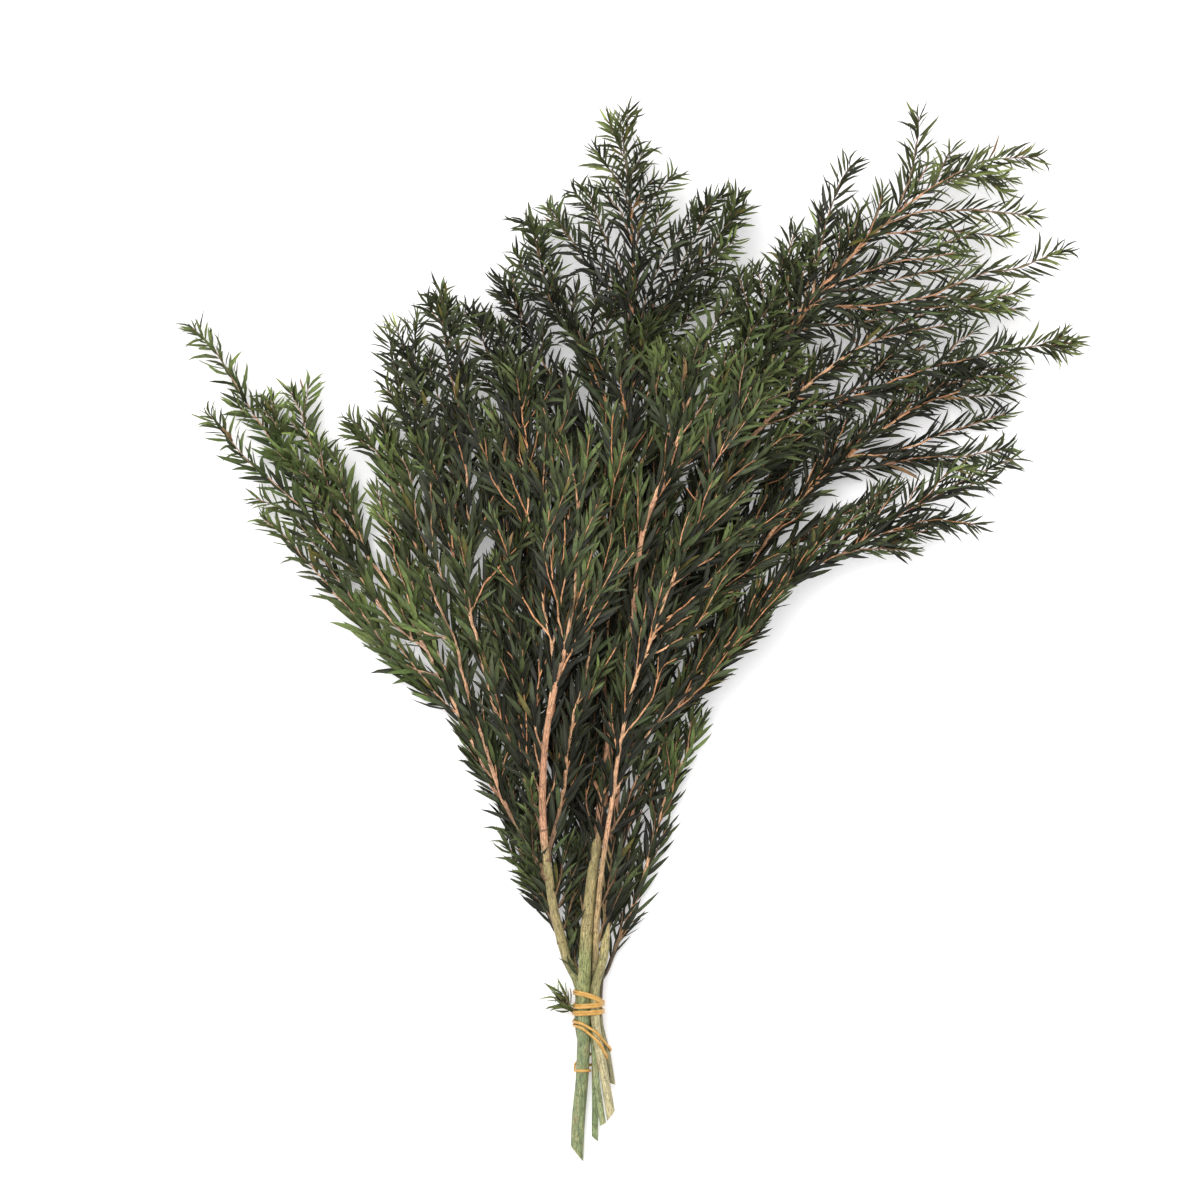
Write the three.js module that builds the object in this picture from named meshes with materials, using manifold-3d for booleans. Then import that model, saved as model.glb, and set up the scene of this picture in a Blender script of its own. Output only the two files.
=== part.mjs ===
// A bunch of preserved melaleuca, lying on its side and tied with a rubber band.
//
// Seven cut woody stems, each one piece with its branches, shoots and leaves. +Z is up, +Y points
// from the cut ends to the tips, and the origin is under the middle of the bunch, on the surface.
//
// The routes were read off a photograph taken from straight above, so their plan is in its pixels
// and is scaled to millimetres. Heights over the surface are in millimetres throughout.

import * as THREE from 'three';
import { mergeVertices } from 'three/addons/utils/BufferGeometryUtils.js';
import Module from 'manifold-3d';

const wasm = await Module();
wasm.setup();

// Scale and frame of the plan
const MM_PER_PIXEL = 0.565;
const PLAN_CENTRE = [633, 629];

// The tie, where the stems run side by side
const TIE_X = 590;
const TIE_LOW_Y = 1024;
const TIE_HIGH_Y = 988;
const PINNED_Y = 975;

// Clearance between neighbouring pieces
const BEND_GAP = 0.6;
const BEND_SHARE = 0.6;
const BEND_ROUNDS = 60;
const LEAF_GAP = 0.3;
const BAND_GAP = 0.6;

// Wood
const TRUNK_SIDES = 6;
const SHOOT_SIDES = 3;
const TRUNK_STEP = 24;
const SHOOT_STEP = 20;
const SHOOT_RADIUS = 1.3;
const SHOOT_TIP_RADIUS = 0.7;
const TRUNK_TAPER = 1.25;
const ROOT_SHARE = 0.85;
const RISE_START = -0.25;
const CUT_SLANT = 0.9;

// Leaves: narrow, flat and pointed, turning round the shoot
const LEAF_SPACING = 20;
const LEAF_LENGTH = 17;
const LEAF_LENGTH_AT_TIP = 12;
const LEAF_WIDTH = 2.8;
const LEAF_THICKNESS = 0.8;
const LEAF_ANGLE = 30;
const LEAF_ANGLE_AT_TIP = 42;
const GOLDEN_ANGLE = 137.5;
const WIDEST_POINT = 0.45;
const LEAF_TRIES = 8;
const LEAF_TRY_TURN = 47;
const LEAF_ANGLE_SPREAD = 8;
const LEAF_SPACING_SPREAD = 0.3;
const LEAF_LENGTH_SPREAD = 0.2;
const TIP_LEAF_ANGLES = [6, 32];
const LEAF_SINK = 2;

// Rubber band
const BAND_RADIUS = 0.75;
const BEAD_RADIUS = 0.85;
const BAND_SIDES = 4;
const BAND_STEP = 30;

// Shapes smaller than this are noise
const SMALLEST_EDGE = 0.05;
const MERGE_DISTANCE = 0.001;

const COLOURS = {
  stem: new THREE.Color(0.2, 0.25, 0.15),
  band: new THREE.Color(0.78, 0.45, 0.12),
};

// A side branch or shoot: the height of its tip, its thickness where it starts, and its plan.
// It springs from the nearest earlier branch of its stem.
function shoot(tipHeight, ...plan) {
  return { tipHeight, radius: SHOOT_RADIUS, plan };
}

function branch(tipHeight, radius, ...plan) {
  return { tipHeight, radius, plan };
}

// Each stem: radius at its cut end, where it runs through the tie (mm from its middle, and height),
// its plan and height below and above the tie, where its leaves start, and its shoots.
const STEMS = [
  {
    name: 'stem_centre',
    radius: 3.7,
    tie: [-3.4, 13.4],
    below: [[577, 1156, 2.95], [578.5, 1122, 3.6], [582, 1080, 7.4]],
    above: [[586, 940, 14], [594, 865, 17], [603, 800, 20], [611, 735, 24], [622, 670, 27], [648, 590, 30],
      [690, 520, 32], [735, 455, 33], [800, 392, 33], [865, 345, 31], [905, 333, 29], [975, 320, 26]],
    leafyFrom: 760,
    shoots: [
      shoot(24, [865, 345], [873, 315], [880, 293]),
      shoot(20, [880, 338], [910, 318], [950, 310], [990, 305], [1032, 312]),
      shoot(23, [795, 398], [830, 403], [870, 390], [950, 362], [1000, 352], [1088, 340]),
      shoot(40, [648, 590], [660, 550], [664, 510], [672, 475]),
      shoot(25, [690, 520], [725, 505], [757, 475], [785, 450]),
      shoot(27, [622, 670], [650, 645], [672, 610], [700, 585]),
      shoot(24, [611, 735], [640, 700], [655, 672], [690, 640]),
      shoot(18, [603, 800], [585, 760], [577, 720], [572, 690]),
      shoot(26, [765, 425], [775, 385], [790, 350], [800, 330]),
    ],
  },
  {
    name: 'stem_left',
    radius: 3.1,
    tie: [-5.8, 6.4],
    below: [[582, 1040, 5]],
    above: [[567, 960, 9], [560, 935, 12], [553, 905, 18], [548, 870, 26], [543, 820, 34], [543, 780, 40],
      [547, 730, 46], [556, 685, 50], [568, 635, 54], [577, 560, 57], [576, 490, 58], [562, 430, 57]],
    leafyFrom: 700,
    shoots: [
      branch(7, 2.2, [562, 942], [546, 905], [526, 860], [505, 810], [487, 770], [458, 715], [432, 660],
        [408, 618], [380, 573], [335, 513], [300, 480], [268, 438], [240, 392], [213, 350], [180, 315]),
      branch(24, 2.2, [549, 880], [530, 850], [515, 822], [500, 790], [476, 720], [455, 645], [430, 585],
        [412, 535], [392, 485], [370, 440], [340, 408]),
      branch(42, 2, [541, 832], [520, 765], [500, 720], [482, 660], [466, 590], [469, 525], [465, 445],
        [446, 345], [440, 275]),
      branch(50, 1.8, [549, 860], [557, 820], [568, 757], [575, 710], [590, 655], [593, 600], [586, 545]),
      branch(46, 1.8, [549, 715], [553, 660], [541, 585], [530, 520], [527, 450], [515, 360]),
      shoot(38, [470, 612], [446, 584], [432, 530], [431, 470], [425, 410], [408, 360], [392, 313]),
      shoot(36, [431, 478], [412, 430], [395, 400], [378, 376]),
      shoot(44, [475, 615], [486, 585], [500, 560], [512, 540]),
      shoot(44, [528, 520], [505, 500], [491, 470], [480, 415]),
      shoot(52, [535, 550], [545, 500], [550, 455], [560, 415]),
      shoot(58, [560, 660], [572, 630], [585, 600], [588, 575]),
      shoot(56, [566, 645], [556, 600], [550, 555], [546, 520]),
      shoot(16, [425, 650], [395, 625], [345, 560], [295, 503], [235, 447], [200, 403]),
      shoot(8, [440, 675], [405, 665], [355, 605], [318, 550], [285, 512], [240, 491]),
      shoot(4, [460, 715], [425, 705], [385, 665], [350, 625], [300, 565], [252, 517]),
      shoot(13, [365, 552], [352, 500], [343, 465], [332, 438]),
      shoot(13, [335, 513], [320, 465], [300, 415], [283, 376]),
      shoot(12, [295, 475], [282, 440], [272, 410], [268, 383]),
      shoot(6, [505, 810], [480, 790], [455, 750], [440, 725]),
      shoot(22, [452, 640], [420, 628], [413, 590], [395, 530], [365, 503]),
      shoot(30, [432, 590], [418, 520], [408, 470], [392, 443]),
      shoot(9, [579, 1019.5], [566, 1018], [555, 1006], [543, 985]),
    ],
  },
  {
    name: 'stem_spire',
    radius: 1.8,
    tie: [0.4, 4.7],
    below: [[595, 1141, 4.2], [595, 1090, 4.2], [594, 1050, 4.2]],
    above: [[591, 960, 5.5], [594, 900, 8], [600, 800, 12.5], [606, 740, 17], [604, 690, 23], [607, 650, 27],
      [609, 610, 30], [609, 535, 34], [621, 470, 36], [632, 390, 36], [632, 320, 34], [633, 250, 31],
      [629, 190, 28], [618, 102, 25]],
    leafyFrom: 830,
    shoots: [
      branch(26, 1.5, [620, 468], [607, 405], [582, 350], [560, 318], [545, 280], [528, 213]),
      shoot(24, [613, 478], [590, 432], [570, 400], [553, 370]),
      shoot(34, [612, 480], [580, 450], [545, 420], [515, 390], [488, 352], [468, 298]),
      shoot(26, [545, 420], [530, 385], [512, 350], [478, 308]),
      shoot(20, [541, 355], [520, 320], [507, 290], [492, 268]),
      shoot(28, [575, 342], [574, 310], [582, 273]),
      shoot(26, [630, 322], [605, 285], [575, 245], [545, 199]),
      shoot(30, [631, 318], [620, 270], [600, 225], [583, 177]),
      shoot(24, [629, 205], [612, 172], [600, 155], [585, 139]),
      shoot(27, [632, 257], [640, 225], [655, 195], [684, 167]),
      shoot(27, [629, 198], [632, 175], [650, 137]),
      branch(26, 1.5, [632, 350], [655, 300], [675, 275], [695, 240], [712, 189]),
      shoot(24, [634, 352], [668, 305], [700, 265], [718, 238], [743, 190]),
      shoot(30, [632, 390], [650, 350], [665, 320], [680, 300]),
      shoot(24, [609, 560], [590, 520], [580, 480], [565, 455]),
    ],
  },
  {
    name: 'stem_front',
    radius: 1.8,
    tie: [0.9, 9.2],
    below: [[603, 1126, 8.6], [597, 1085, 8.5], [594, 1052, 8.4]],
    above: [[595, 965, 12.5], [597, 920, 18], [603, 860, 27], [612, 800, 35], [620, 745, 41], [635, 680, 47],
      [655, 630, 51], [670, 585, 53], [695, 535, 53], [720, 500, 51]],
    leafyFrom: 800,
    shoots: [
      branch(27, 1.7, [612, 795], [643, 740], [675, 708], [705, 670], [745, 625], [770, 602], [805, 572],
        [855, 545], [905, 513], [965, 480], [1028, 452]),
      shoot(60, [702, 520], [712, 475], [725, 440], [742, 405], [762, 368]),
      shoot(46, [700, 530], [725, 485], [760, 455], [800, 425]),
      shoot(52, [788, 588], [800, 560], [815, 538]),
      shoot(30, [855, 545], [900, 528], [945, 520], [992, 527]),
      shoot(32, [835, 555], [880, 548], [925, 553]),
      shoot(50, [655, 630], [690, 600], [720, 580], [742, 560]),
      shoot(40, [675, 708], [712, 690], [745, 655], [778, 632]),
      shoot(55, [645, 655], [680, 640], [705, 615], [735, 598]),
      shoot(50, [622, 740], [650, 700], [665, 665], [690, 650]),
      shoot(34, [905, 513], [930, 495], [950, 470], [990, 470]),
    ],
  },
  {
    name: 'stem_right_low',
    radius: 1.9,
    tie: [5.6, 9.6],
    below: [[612, 1085, 8.4], [607, 1055, 8.8]],
    above: [[603, 960, 9.6], [608, 920, 10], [618, 862, 11], [635, 805, 12], [655, 757, 13], [680, 705, 15],
      [715, 650, 17], [745, 575, 20], [790, 510, 20], [850, 455, 18], [910, 410, 17], [945, 385, 16],
      [1026, 371, 13]],
    leafyFrom: 900,
    shoots: [
      shoot(9, [945, 387], [960, 362], [976, 343]),
      shoot(4, [850, 458], [890, 452], [940, 435], [1022, 408]),
      shoot(1.5, [828, 474], [870, 466], [915, 461], [962, 460]),
      shoot(24, [800, 500], [828, 460], [842, 430], [856, 400]),
      shoot(8, [745, 585], [780, 550], [830, 520], [870, 500], [902, 477]),
      shoot(10, [680, 705], [708, 690], [735, 665], [760, 640]),
      shoot(24, [715, 650], [712, 610], [722, 575], [735, 545]),
      shoot(8, [635, 805], [655, 790], [675, 745], [700, 722]),
      shoot(16, [745, 575], [750, 540], [760, 510], [775, 480]),
    ],
  },
  {
    name: 'stem_right_edge',
    radius: 1.2,
    tie: [4.4, 5.6],
    below: [[603, 1037, 5.2]],
    above: [[607, 972, 5], [616, 948, 6], [630, 915, 7], [640, 890, 7.5], [660, 830, 8], [675, 790, 9],
      [690, 750, 10], [710, 703, 11]],
    leafyFrom: 965,
    shoots: [
      shoot(9, [616, 948], [632, 925], [645, 908]),
      shoot(6, [640, 890], [658, 860], [668, 840], [682, 812]),
      shoot(14, [650, 860], [655, 820], [652, 790], [660, 765]),
    ],
  },
  {
    name: 'stem_upper_right',
    radius: 2.6,
    tie: [3.2, 14.8],
    below: [[611, 1117, 12.5], [604, 1075, 13.5]],
    above: [[604, 955, 13], [606, 900, 14.5], [610, 850, 18], [617, 790, 23], [626, 720, 30], [632, 640, 37],
      [636, 580, 42], [646, 520, 46], [668, 480, 48], [700, 450, 49], [735, 410, 48], [770, 360, 46],
      [800, 315, 43], [850, 258, 39], [890, 220, 35], [932, 188, 32], [985, 162, 28], [1054, 155, 24]],
    leafyFrom: 800,
    shoots: [
      branch(54, 1.4, [644, 530], [658, 487], [672, 455], [690, 395], [712, 330], [736, 288]),
      shoot(50, [675, 448], [660, 410], [655, 375], [662, 340]),
      shoot(30, [895, 216], [908, 180], [918, 140], [918, 101]),
      shoot(36, [812, 302], [822, 235], [835, 195], [858, 152]),
      shoot(40, [785, 338], [788, 290], [790, 250], [797, 220]),
      shoot(42, [770, 360], [765, 320], [762, 290], [752, 258]),
      shoot(22, [938, 186], [975, 174], [1000, 178], [1027, 184]),
      shoot(28, [884, 225], [925, 211], [985, 212], [1047, 217]),
      shoot(20, [872, 236], [925, 230], [1022, 238]),
      shoot(32, [820, 292], [865, 272], [915, 260], [980, 249]),
      shoot(30, [806, 308], [860, 306], [930, 297], [975, 275], [1020, 268], [1077, 244]),
      shoot(24, [930, 297], [980, 299], [1035, 291]),
      shoot(50, [718, 430], [745, 395], [760, 385], [785, 372]),
      shoot(36, [632, 640], [650, 600], [655, 565], [650, 545]),
      shoot(26, [620, 765], [640, 735], [652, 715], [680, 690]),
      shoot(44, [850, 258], [872, 225], [880, 200], [884, 180]),
    ],
  },
];

// The band's route: the angle round the bunch (0 right, 90 top, 180 left) and the place along it.
// It starts on the left, under the stems, and climbs towards the tips.
const BAND_TURNS = [[-180, 1066], [0, 1050], [180, 1025], [360, 1016], [540, 1010.5], [720, 1008],
  [900, 1004.5], [1080, 1003], [1260, 994], [1350, 995]];
const SECOND_STRAND_TURNS = [[-120, 1068], [0, 1058], [180, 1028], [360, 1018.5], [540, 1013], [720, 1010.5],
  [900, 1007], [1080, 1005.5], [1260, 996.5], [1350, 997.5]];
const HOOK_Y = 1072;
const HOOK_ANGLES = [200, 165, 130, 95, 60, 25, -10, -45, -80, -118];

// Seeded random numbers, the same on each run
function makeRandom(seed) {
  let state = seed;
  return () => {
    state = (Math.imul(state, 1664525) + 1013904223) >>> 0;
    return state / 4294967296;
  };
}

// A factor spread evenly round 1
function around(spread, random) {
  return 1 + spread * (random() - 0.5);
}

const UP = new THREE.Vector3(0, 0, 1);
const radians = THREE.MathUtils.degToRad;
const mix = THREE.MathUtils.lerp;

function place(x, y, height) {
  return new THREE.Vector3((x - PLAN_CENTRE[0]) * MM_PER_PIXEL, (PLAN_CENTRE[1] - y) * MM_PER_PIXEL, height);
}

// Points at even steps along a smooth curve, which ends where its last leaf still reaches the route's end
function evenSamples(route, step) {
  const points = [...route];
  const end = points[points.length - 1];
  const back = points[points.length - 2].clone().sub(end).setLength(LEAF_LENGTH_AT_TIP - LEAF_SINK);
  points[points.length - 1] = end.clone().add(back);
  const curve = new THREE.CatmullRomCurve3(points, false, 'centripetal');
  const count = Math.max(3, Math.round(curve.getLength() / step));
  return curve.getSpacedPoints(count);
}

// A shoot's line: sample points, radii, and which samples are held still
function trunkLine(stem) {
  const tieX = TIE_X + stem.tie[0] / MM_PER_PIXEL;
  const tie = [[tieX, TIE_LOW_Y, stem.tie[1]], [tieX, TIE_HIGH_Y, stem.tie[1]]];
  const rows = [...stem.below, ...tie, ...stem.above];
  const points = evenSamples(rows.map((row) => place(...row)), TRUNK_STEP);
  const taperStart = place(0, TIE_HIGH_Y, 0).y;
  const first = points.findIndex((point) => point.y > taperStart);
  const radii = points.map((point, i) => {
    const along = Math.max(0, (i - first) / (points.length - 1 - first));
    return SHOOT_TIP_RADIUS + (stem.radius - SHOOT_TIP_RADIUS) * (1 - along) ** TRUNK_TAPER;
  });
  const pinnedTop = place(0, PINNED_Y, 0).y;
  const pinned = points.map((point) => point.y < pinnedTop);
  return { points, radii, sides: TRUNK_SIDES, up: UP, pinned, pointed: true, cutEnd: true };
}

// The nearest place on a line, seen from above
function closestOnLine(line, x, y) {
  let best = { distance: Infinity };
  for (let index = 0; index + 1 < line.points.length; index += 1) {
    const [start, end] = [line.points[index], line.points[index + 1]];
    const [dx, dy] = [end.x - start.x, end.y - start.y];
    const share = ((x - start.x) * dx + (y - start.y) * dy) / (dx * dx + dy * dy);
    const t = THREE.MathUtils.clamp(share, 0, 1);
    const distance = Math.hypot(start.x + dx * t - x, start.y + dy * t - y);
    if (distance < best.distance) best = { distance, line, index, t };
  }
  return best;
}

function footOf({ line, index, t }) {
  return line.points[index].clone().lerp(line.points[index + 1], t);
}

function shootLine(spec, earlier) {
  const start = place(...spec.plan[0], 0);
  const base = earlier.map((line) => closestOnLine(line, start.x, start.y))
    .reduce((a, b) => (b.distance < a.distance ? b : a));
  const foot = footOf(base);
  const last = spec.plan.length - 1;
  const rows = spec.plan.slice(1).map(([x, y], i) => {
    const along = THREE.MathUtils.smoothstep((i + 1) / last, RISE_START, 1);
    return place(x, y, mix(foot.z, spec.tipHeight, along));
  });
  const points = evenSamples([foot.clone(), ...rows], SHOOT_STEP);
  const root = Math.min(spec.radius, base.line.radii[base.index] * ROOT_SHARE);
  const radii = points.map((_, i) => mix(root, SHOOT_TIP_RADIUS, i / (points.length - 1)));
  const pinned = points.map((point) => point.y < place(0, PINNED_Y, 0).y);
  return { points, radii, sides: SHOOT_SIDES, up: UP, pinned, base, pointed: true };
}

// Closest points of two segments, as a vector from b to a
function segmentOffset(a0, a1, b0, b1) {
  const u = a1.clone().sub(a0);
  const v = b1.clone().sub(b0);
  const w = a0.clone().sub(b0);
  const [uu, uv, vv, uw, vw] = [u.dot(u), u.dot(v), v.dot(v), u.dot(w), v.dot(w)];
  const spread = uu * vv - uv * uv;
  let s = spread > 1e-9 ? THREE.MathUtils.clamp((uv * vw - vv * uw) / spread, 0, 1) : 0.5;
  const t = THREE.MathUtils.clamp((uv * s + vw) / vv, 0, 1);
  s = THREE.MathUtils.clamp((uv * t - uw) / uu, 0, 1);
  const offset = a0.clone().addScaledVector(u, s).sub(b0.clone().addScaledVector(v, t));
  return { offset, s, t };
}

// Bend the wood of different stems clear of each other
function bendClear(stems) {
  const lines = stems.flatMap((stem) => stem.lines.map((line) => ({ line, stem })));
  for (let round = 0; round < BEND_ROUNDS; round += 1) {
    let worst = 0;
    lines.forEach((a, i) => lines.slice(i + 1).forEach((b) => {
      if (a.stem !== b.stem) worst = Math.max(worst, pushApart(a.line, b.line));
    }));
    lines.forEach(({ line }) => followBase(line));
    if (worst < SMALLEST_EDGE) return;
  }
}

function pushApart(a, b) {
  let worst = 0;
  for (let i = 0; i + 1 < a.points.length; i += 1) {
    for (let j = 0; j + 1 < b.points.length; j += 1) {
      const reach = a.radii[i] + b.radii[j] + BEND_GAP;
      if (a.points[i].distanceTo(b.points[j]) > reach + TRUNK_STEP * 2) continue;
      const { offset, s, t } = segmentOffset(a.points[i], a.points[i + 1], b.points[j], b.points[j + 1]);
      const lack = reach - offset.length();
      if (lack <= 0) continue;
      worst = Math.max(worst, lack);
      const push = offset.length() > 1e-4 ? offset.normalize() : new THREE.Vector3(0, 0, 1);
      push.multiplyScalar(lack * BEND_SHARE);
      movePoint(a, i, push, 1 - s);
      movePoint(a, i + 1, push, s);
      movePoint(b, j, push, t - 1);
      movePoint(b, j + 1, push, -t);
    }
  }
  return worst;
}

function movePoint(line, index, push, share) {
  if (line.pinned[index]) return;
  line.points[index].addScaledVector(push, share);
}

// A shoot's foot stays on the branch it grows from
function followBase(line) {
  if (!line.base) return;
  line.points[0].copy(footOf(line.base));
}

// Convex pieces of wood and leaves, tested for clearance with separating directions
function ring(line, index, slant = 0) {
  const { points, radii, sides } = line;
  const centre = points[index];
  const radius = radii[index];
  const along = directionAt(points, index);
  const out = line.up.clone().addScaledVector(along, -along.dot(line.up)).normalize();
  const side = new THREE.Vector3().crossVectors(along, out);
  const turn = sides === SHOOT_SIDES ? Math.PI : Math.PI / sides;
  return Array.from({ length: sides }, (_, i) => {
    const angle = turn + (i * Math.PI * 2) / sides;
    const lean = slant * radius * Math.sin(angle);
    return centre.clone()
      .addScaledVector(out, Math.cos(angle) * radius)
      .addScaledVector(side, Math.sin(angle) * radius)
      .addScaledVector(along, lean);
  });
}

function directionAt(points, index) {
  const before = points[Math.max(0, index - 1)];
  const after = points[Math.min(points.length - 1, index + 1)];
  return after.clone().sub(before).normalize();
}

function convexPiece(points, faces, edges) {
  const normals = faces.map(([a, b, c]) => new THREE.Triangle(points[a], points[b], points[c])
    .getNormal(new THREE.Vector3()));
  const directions = edges.map(([a, b]) => points[b].clone().sub(points[a]));
  return { points, normals, directions, box: new THREE.Box3().setFromPoints(points) };
}

function span(points, axis) {
  let low = Infinity;
  let high = -Infinity;
  points.forEach((point) => {
    const value = point.dot(axis);
    low = Math.min(low, value);
    high = Math.max(high, value);
  });
  return [low, high];
}

function apart(a, b, axis, gap) {
  const [aLow, aHigh] = span(a.points, axis);
  const [bLow, bHigh] = span(b.points, axis);
  return aLow - bHigh > gap || bLow - aHigh > gap;
}

function isClear(a, b, gap) {
  const grown = a.box.clone().expandByScalar(gap);
  if (!grown.intersectsBox(b.box)) return true;
  if ([...a.normals, ...b.normals].some((axis) => apart(a, b, axis, gap))) return true;
  return a.directions.some((one) => b.directions.some((other) => {
    const axis = new THREE.Vector3().crossVectors(one, other);
    if (axis.lengthSq() < 1e-6) return false;
    return apart(a, b, axis.normalize(), gap);
  }));
}

function tubePieces(line) {
  const pieces = [];
  for (let i = 0; i + 1 < line.points.length; i += 1) {
    const lower = ring(line, i);
    const upper = ring(line, i + 1);
    const n = line.sides;
    const around = Array.from({ length: n }, (_, k) => k);
    const faces = around.map((k) => [k, (k + 1) % n, n + k]);
    faces.push([0, 2, 1], [n, n + 1, n + 2]);
    const edges = around.flatMap((k) => [[k, (k + 1) % n], [k, n + k]]);
    pieces.push(convexPiece([...lower, ...upper], faces, edges));
  }
  return pieces;
}

// A leaf is a thin keeled blade with four corners: root, left, right, tip
const LEAF_FACES = [[0, 1, 2], [3, 2, 1], [0, 3, 1], [0, 2, 3]];
const LEAF_EDGES = [[0, 1], [0, 2], [0, 3], [1, 2], [1, 3], [2, 3]];

function leafPiece(root, direction, outward, length) {
  const across = new THREE.Vector3().crossVectors(direction, outward).normalize();
  const up = new THREE.Vector3().crossVectors(across, direction).normalize();
  const middle = root.clone().addScaledVector(direction, length * WIDEST_POINT)
    .addScaledVector(up, LEAF_THICKNESS);
  const left = middle.clone().addScaledVector(across, LEAF_WIDTH / 2);
  const right = middle.clone().addScaledVector(across, -LEAF_WIDTH / 2);
  const tip = root.clone().addScaledVector(direction, length);
  return convexPiece([root.clone(), left, right, tip], LEAF_FACES, LEAF_EDGES);
}

// Where the leaves of a line sit, from its leafy start to its tip
function leafPlaces(line, leafyFrom, random) {
  const places = [];
  let travelled = LEAF_SPACING * random();
  const count = line.points.length;
  for (let i = 0; i + 1 < count; i += 1) {
    const [start, end] = [line.points[i], line.points[i + 1]];
    const length = start.distanceTo(end);
    while (travelled < length) {
      const root = start.clone().lerp(end, travelled / length);
      const along = (i + travelled / length) / (count - 1);
      if (root.y > leafyFrom) places.push({ root, direction: end.clone().sub(start).normalize(), along });
      travelled += LEAF_SPACING * around(LEAF_SPACING_SPREAD, random);
    }
    travelled -= length;
  }
  return places;
}

function leafAt(spot, turn, opening, length) {
  const out = new THREE.Vector3(0, 0, 1).addScaledVector(spot.direction, -spot.direction.z).normalize();
  const side = new THREE.Vector3().crossVectors(spot.direction, out);
  const outward = out.multiplyScalar(Math.cos(radians(turn))).addScaledVector(side, Math.sin(radians(turn)));
  const direction = spot.direction.clone().multiplyScalar(Math.cos(radians(opening)))
    .addScaledVector(outward, Math.sin(radians(opening)));
  return leafPiece(spot.root, direction, outward, length);
}

function tipSpots(line) {
  const last = line.points.length - 1;
  const direction = line.points[last].clone().sub(line.points[last - 1]).normalize();
  const root = line.points[last].clone().addScaledVector(direction, -LEAF_SINK);
  return TIP_LEAF_ANGLES.map((opening) => ({ root, direction, along: 1, opening }));
}

// Leaves of one line, each turned until it is clear of everything else, or left out
function growLeaves(line, own, others, leafyFrom, random) {
  const grown = [];
  let turn = 360 * random();
  [...leafPlaces(line, leafyFrom, random), ...tipSpots(line)].forEach((spot) => {
    turn += GOLDEN_ANGLE;
    const opening = spot.opening ?? mix(LEAF_ANGLE, LEAF_ANGLE_AT_TIP, spot.along);
    const length = mix(LEAF_LENGTH, LEAF_LENGTH_AT_TIP, spot.along) * around(LEAF_LENGTH_SPREAD, random);
    for (let attempt = 0; attempt < LEAF_TRIES; attempt += 1) {
      const tilt = opening + LEAF_ANGLE_SPREAD * (random() - 0.5);
      const leaf = leafAt(spot, turn + attempt * LEAF_TRY_TURN, tilt, length);
      const crossesOwn = attempt < LEAF_TRIES - 2 && own.some((piece) => !isClear(leaf, piece, 0));
      if (crossesOwn || others.some((piece) => !isClear(leaf, piece, LEAF_GAP))) continue;
      grown.push(leaf);
      break;
    }
  });
  return grown;
}

// Closed meshes for the solid library
function solid(points, faces) {
  const vertProperties = new Float32Array(points.flatMap((point) => [point.x, point.y, point.z]));
  const mesh = new wasm.Mesh({ numProp: 3, vertProperties, triVerts: new Uint32Array(faces.flat()) });
  return new wasm.Manifold(mesh);
}

function tube(line) {
  const { points, sides, pointed } = line;
  const last = points.length - 1;
  const vertices = [];
  const faces = [];
  for (let i = 0; i <= last; i += 1) {
    if (i === last && pointed) {
      vertices.push(points[i].clone());
      continue;
    }
    const slant = i === 0 && line.cutEnd ? CUT_SLANT : 0;
    vertices.push(...ring(line, i, slant));
  }
  for (let k = 1; k + 1 < sides; k += 1) faces.push([0, k + 1, k]);
  for (let i = 0; i < last; i += 1) {
    for (let k = 0; k < sides; k += 1) {
      const a = i * sides + k;
      const b = i * sides + ((k + 1) % sides);
      if (i === last - 1 && pointed) {
        faces.push([a, b, last * sides]);
      } else {
        faces.push([a, b, a + sides], [b, b + sides, a + sides]);
      }
    }
  }
  if (!pointed) {
    for (let k = 1; k + 1 < sides; k += 1) faces.push([last * sides, last * sides + k, last * sides + k + 1]);
  }
  return solid(vertices, faces);
}

// Join the pieces, cut the underside flat on the surface, and keep the one body
function joined(pieces) {
  const whole = wasm.Manifold.union(pieces).trimByPlane([0, 0, 1], 0);
  return largest(whole.simplify(SMALLEST_EDGE));
}

function largest(body) {
  return body.decompose().reduce((a, b) => (b.volume() > a.volume() ? b : a));
}

function geometryOf(body) {
  const mesh = body.getMesh();
  const geometry = new THREE.BufferGeometry();
  geometry.setAttribute('position', new THREE.BufferAttribute(new Float32Array(mesh.vertProperties), 3));
  geometry.setIndex(new THREE.BufferAttribute(new Uint32Array(mesh.triVerts), 1));
  return geometry;
}

// The finished shape in its place: near-equal corners are merged, and a scrap that this frees is dropped
function finished(body, shift) {
  const merged = mergeVertices(geometryOf(body).translate(shift.x, shift.y, shift.z), MERGE_DISTANCE);
  const vertProperties = merged.getAttribute('position').array;
  const triVerts = new Uint32Array(merged.index.array);
  const whole = new wasm.Manifold(new wasm.Mesh({ numProp: 3, vertProperties, triVerts }));
  const geometry = geometryOf(largest(whole));
  geometry.computeVertexNormals();
  return geometry;
}

// Where a trunk crosses a given place along the bunch
function trunkSection(line, y) {
  for (let i = 0; i + 1 < line.points.length; i += 1) {
    const [start, end] = [line.points[i], line.points[i + 1]];
    if (start.y <= y && end.y > y) {
      const t = (y - start.y) / (end.y - start.y);
      const centre = start.clone().lerp(end, t);
      return { x: centre.x, z: centre.z, radius: mix(line.radii[i], line.radii[i + 1], t) };
    }
  }
  return null;
}

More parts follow.
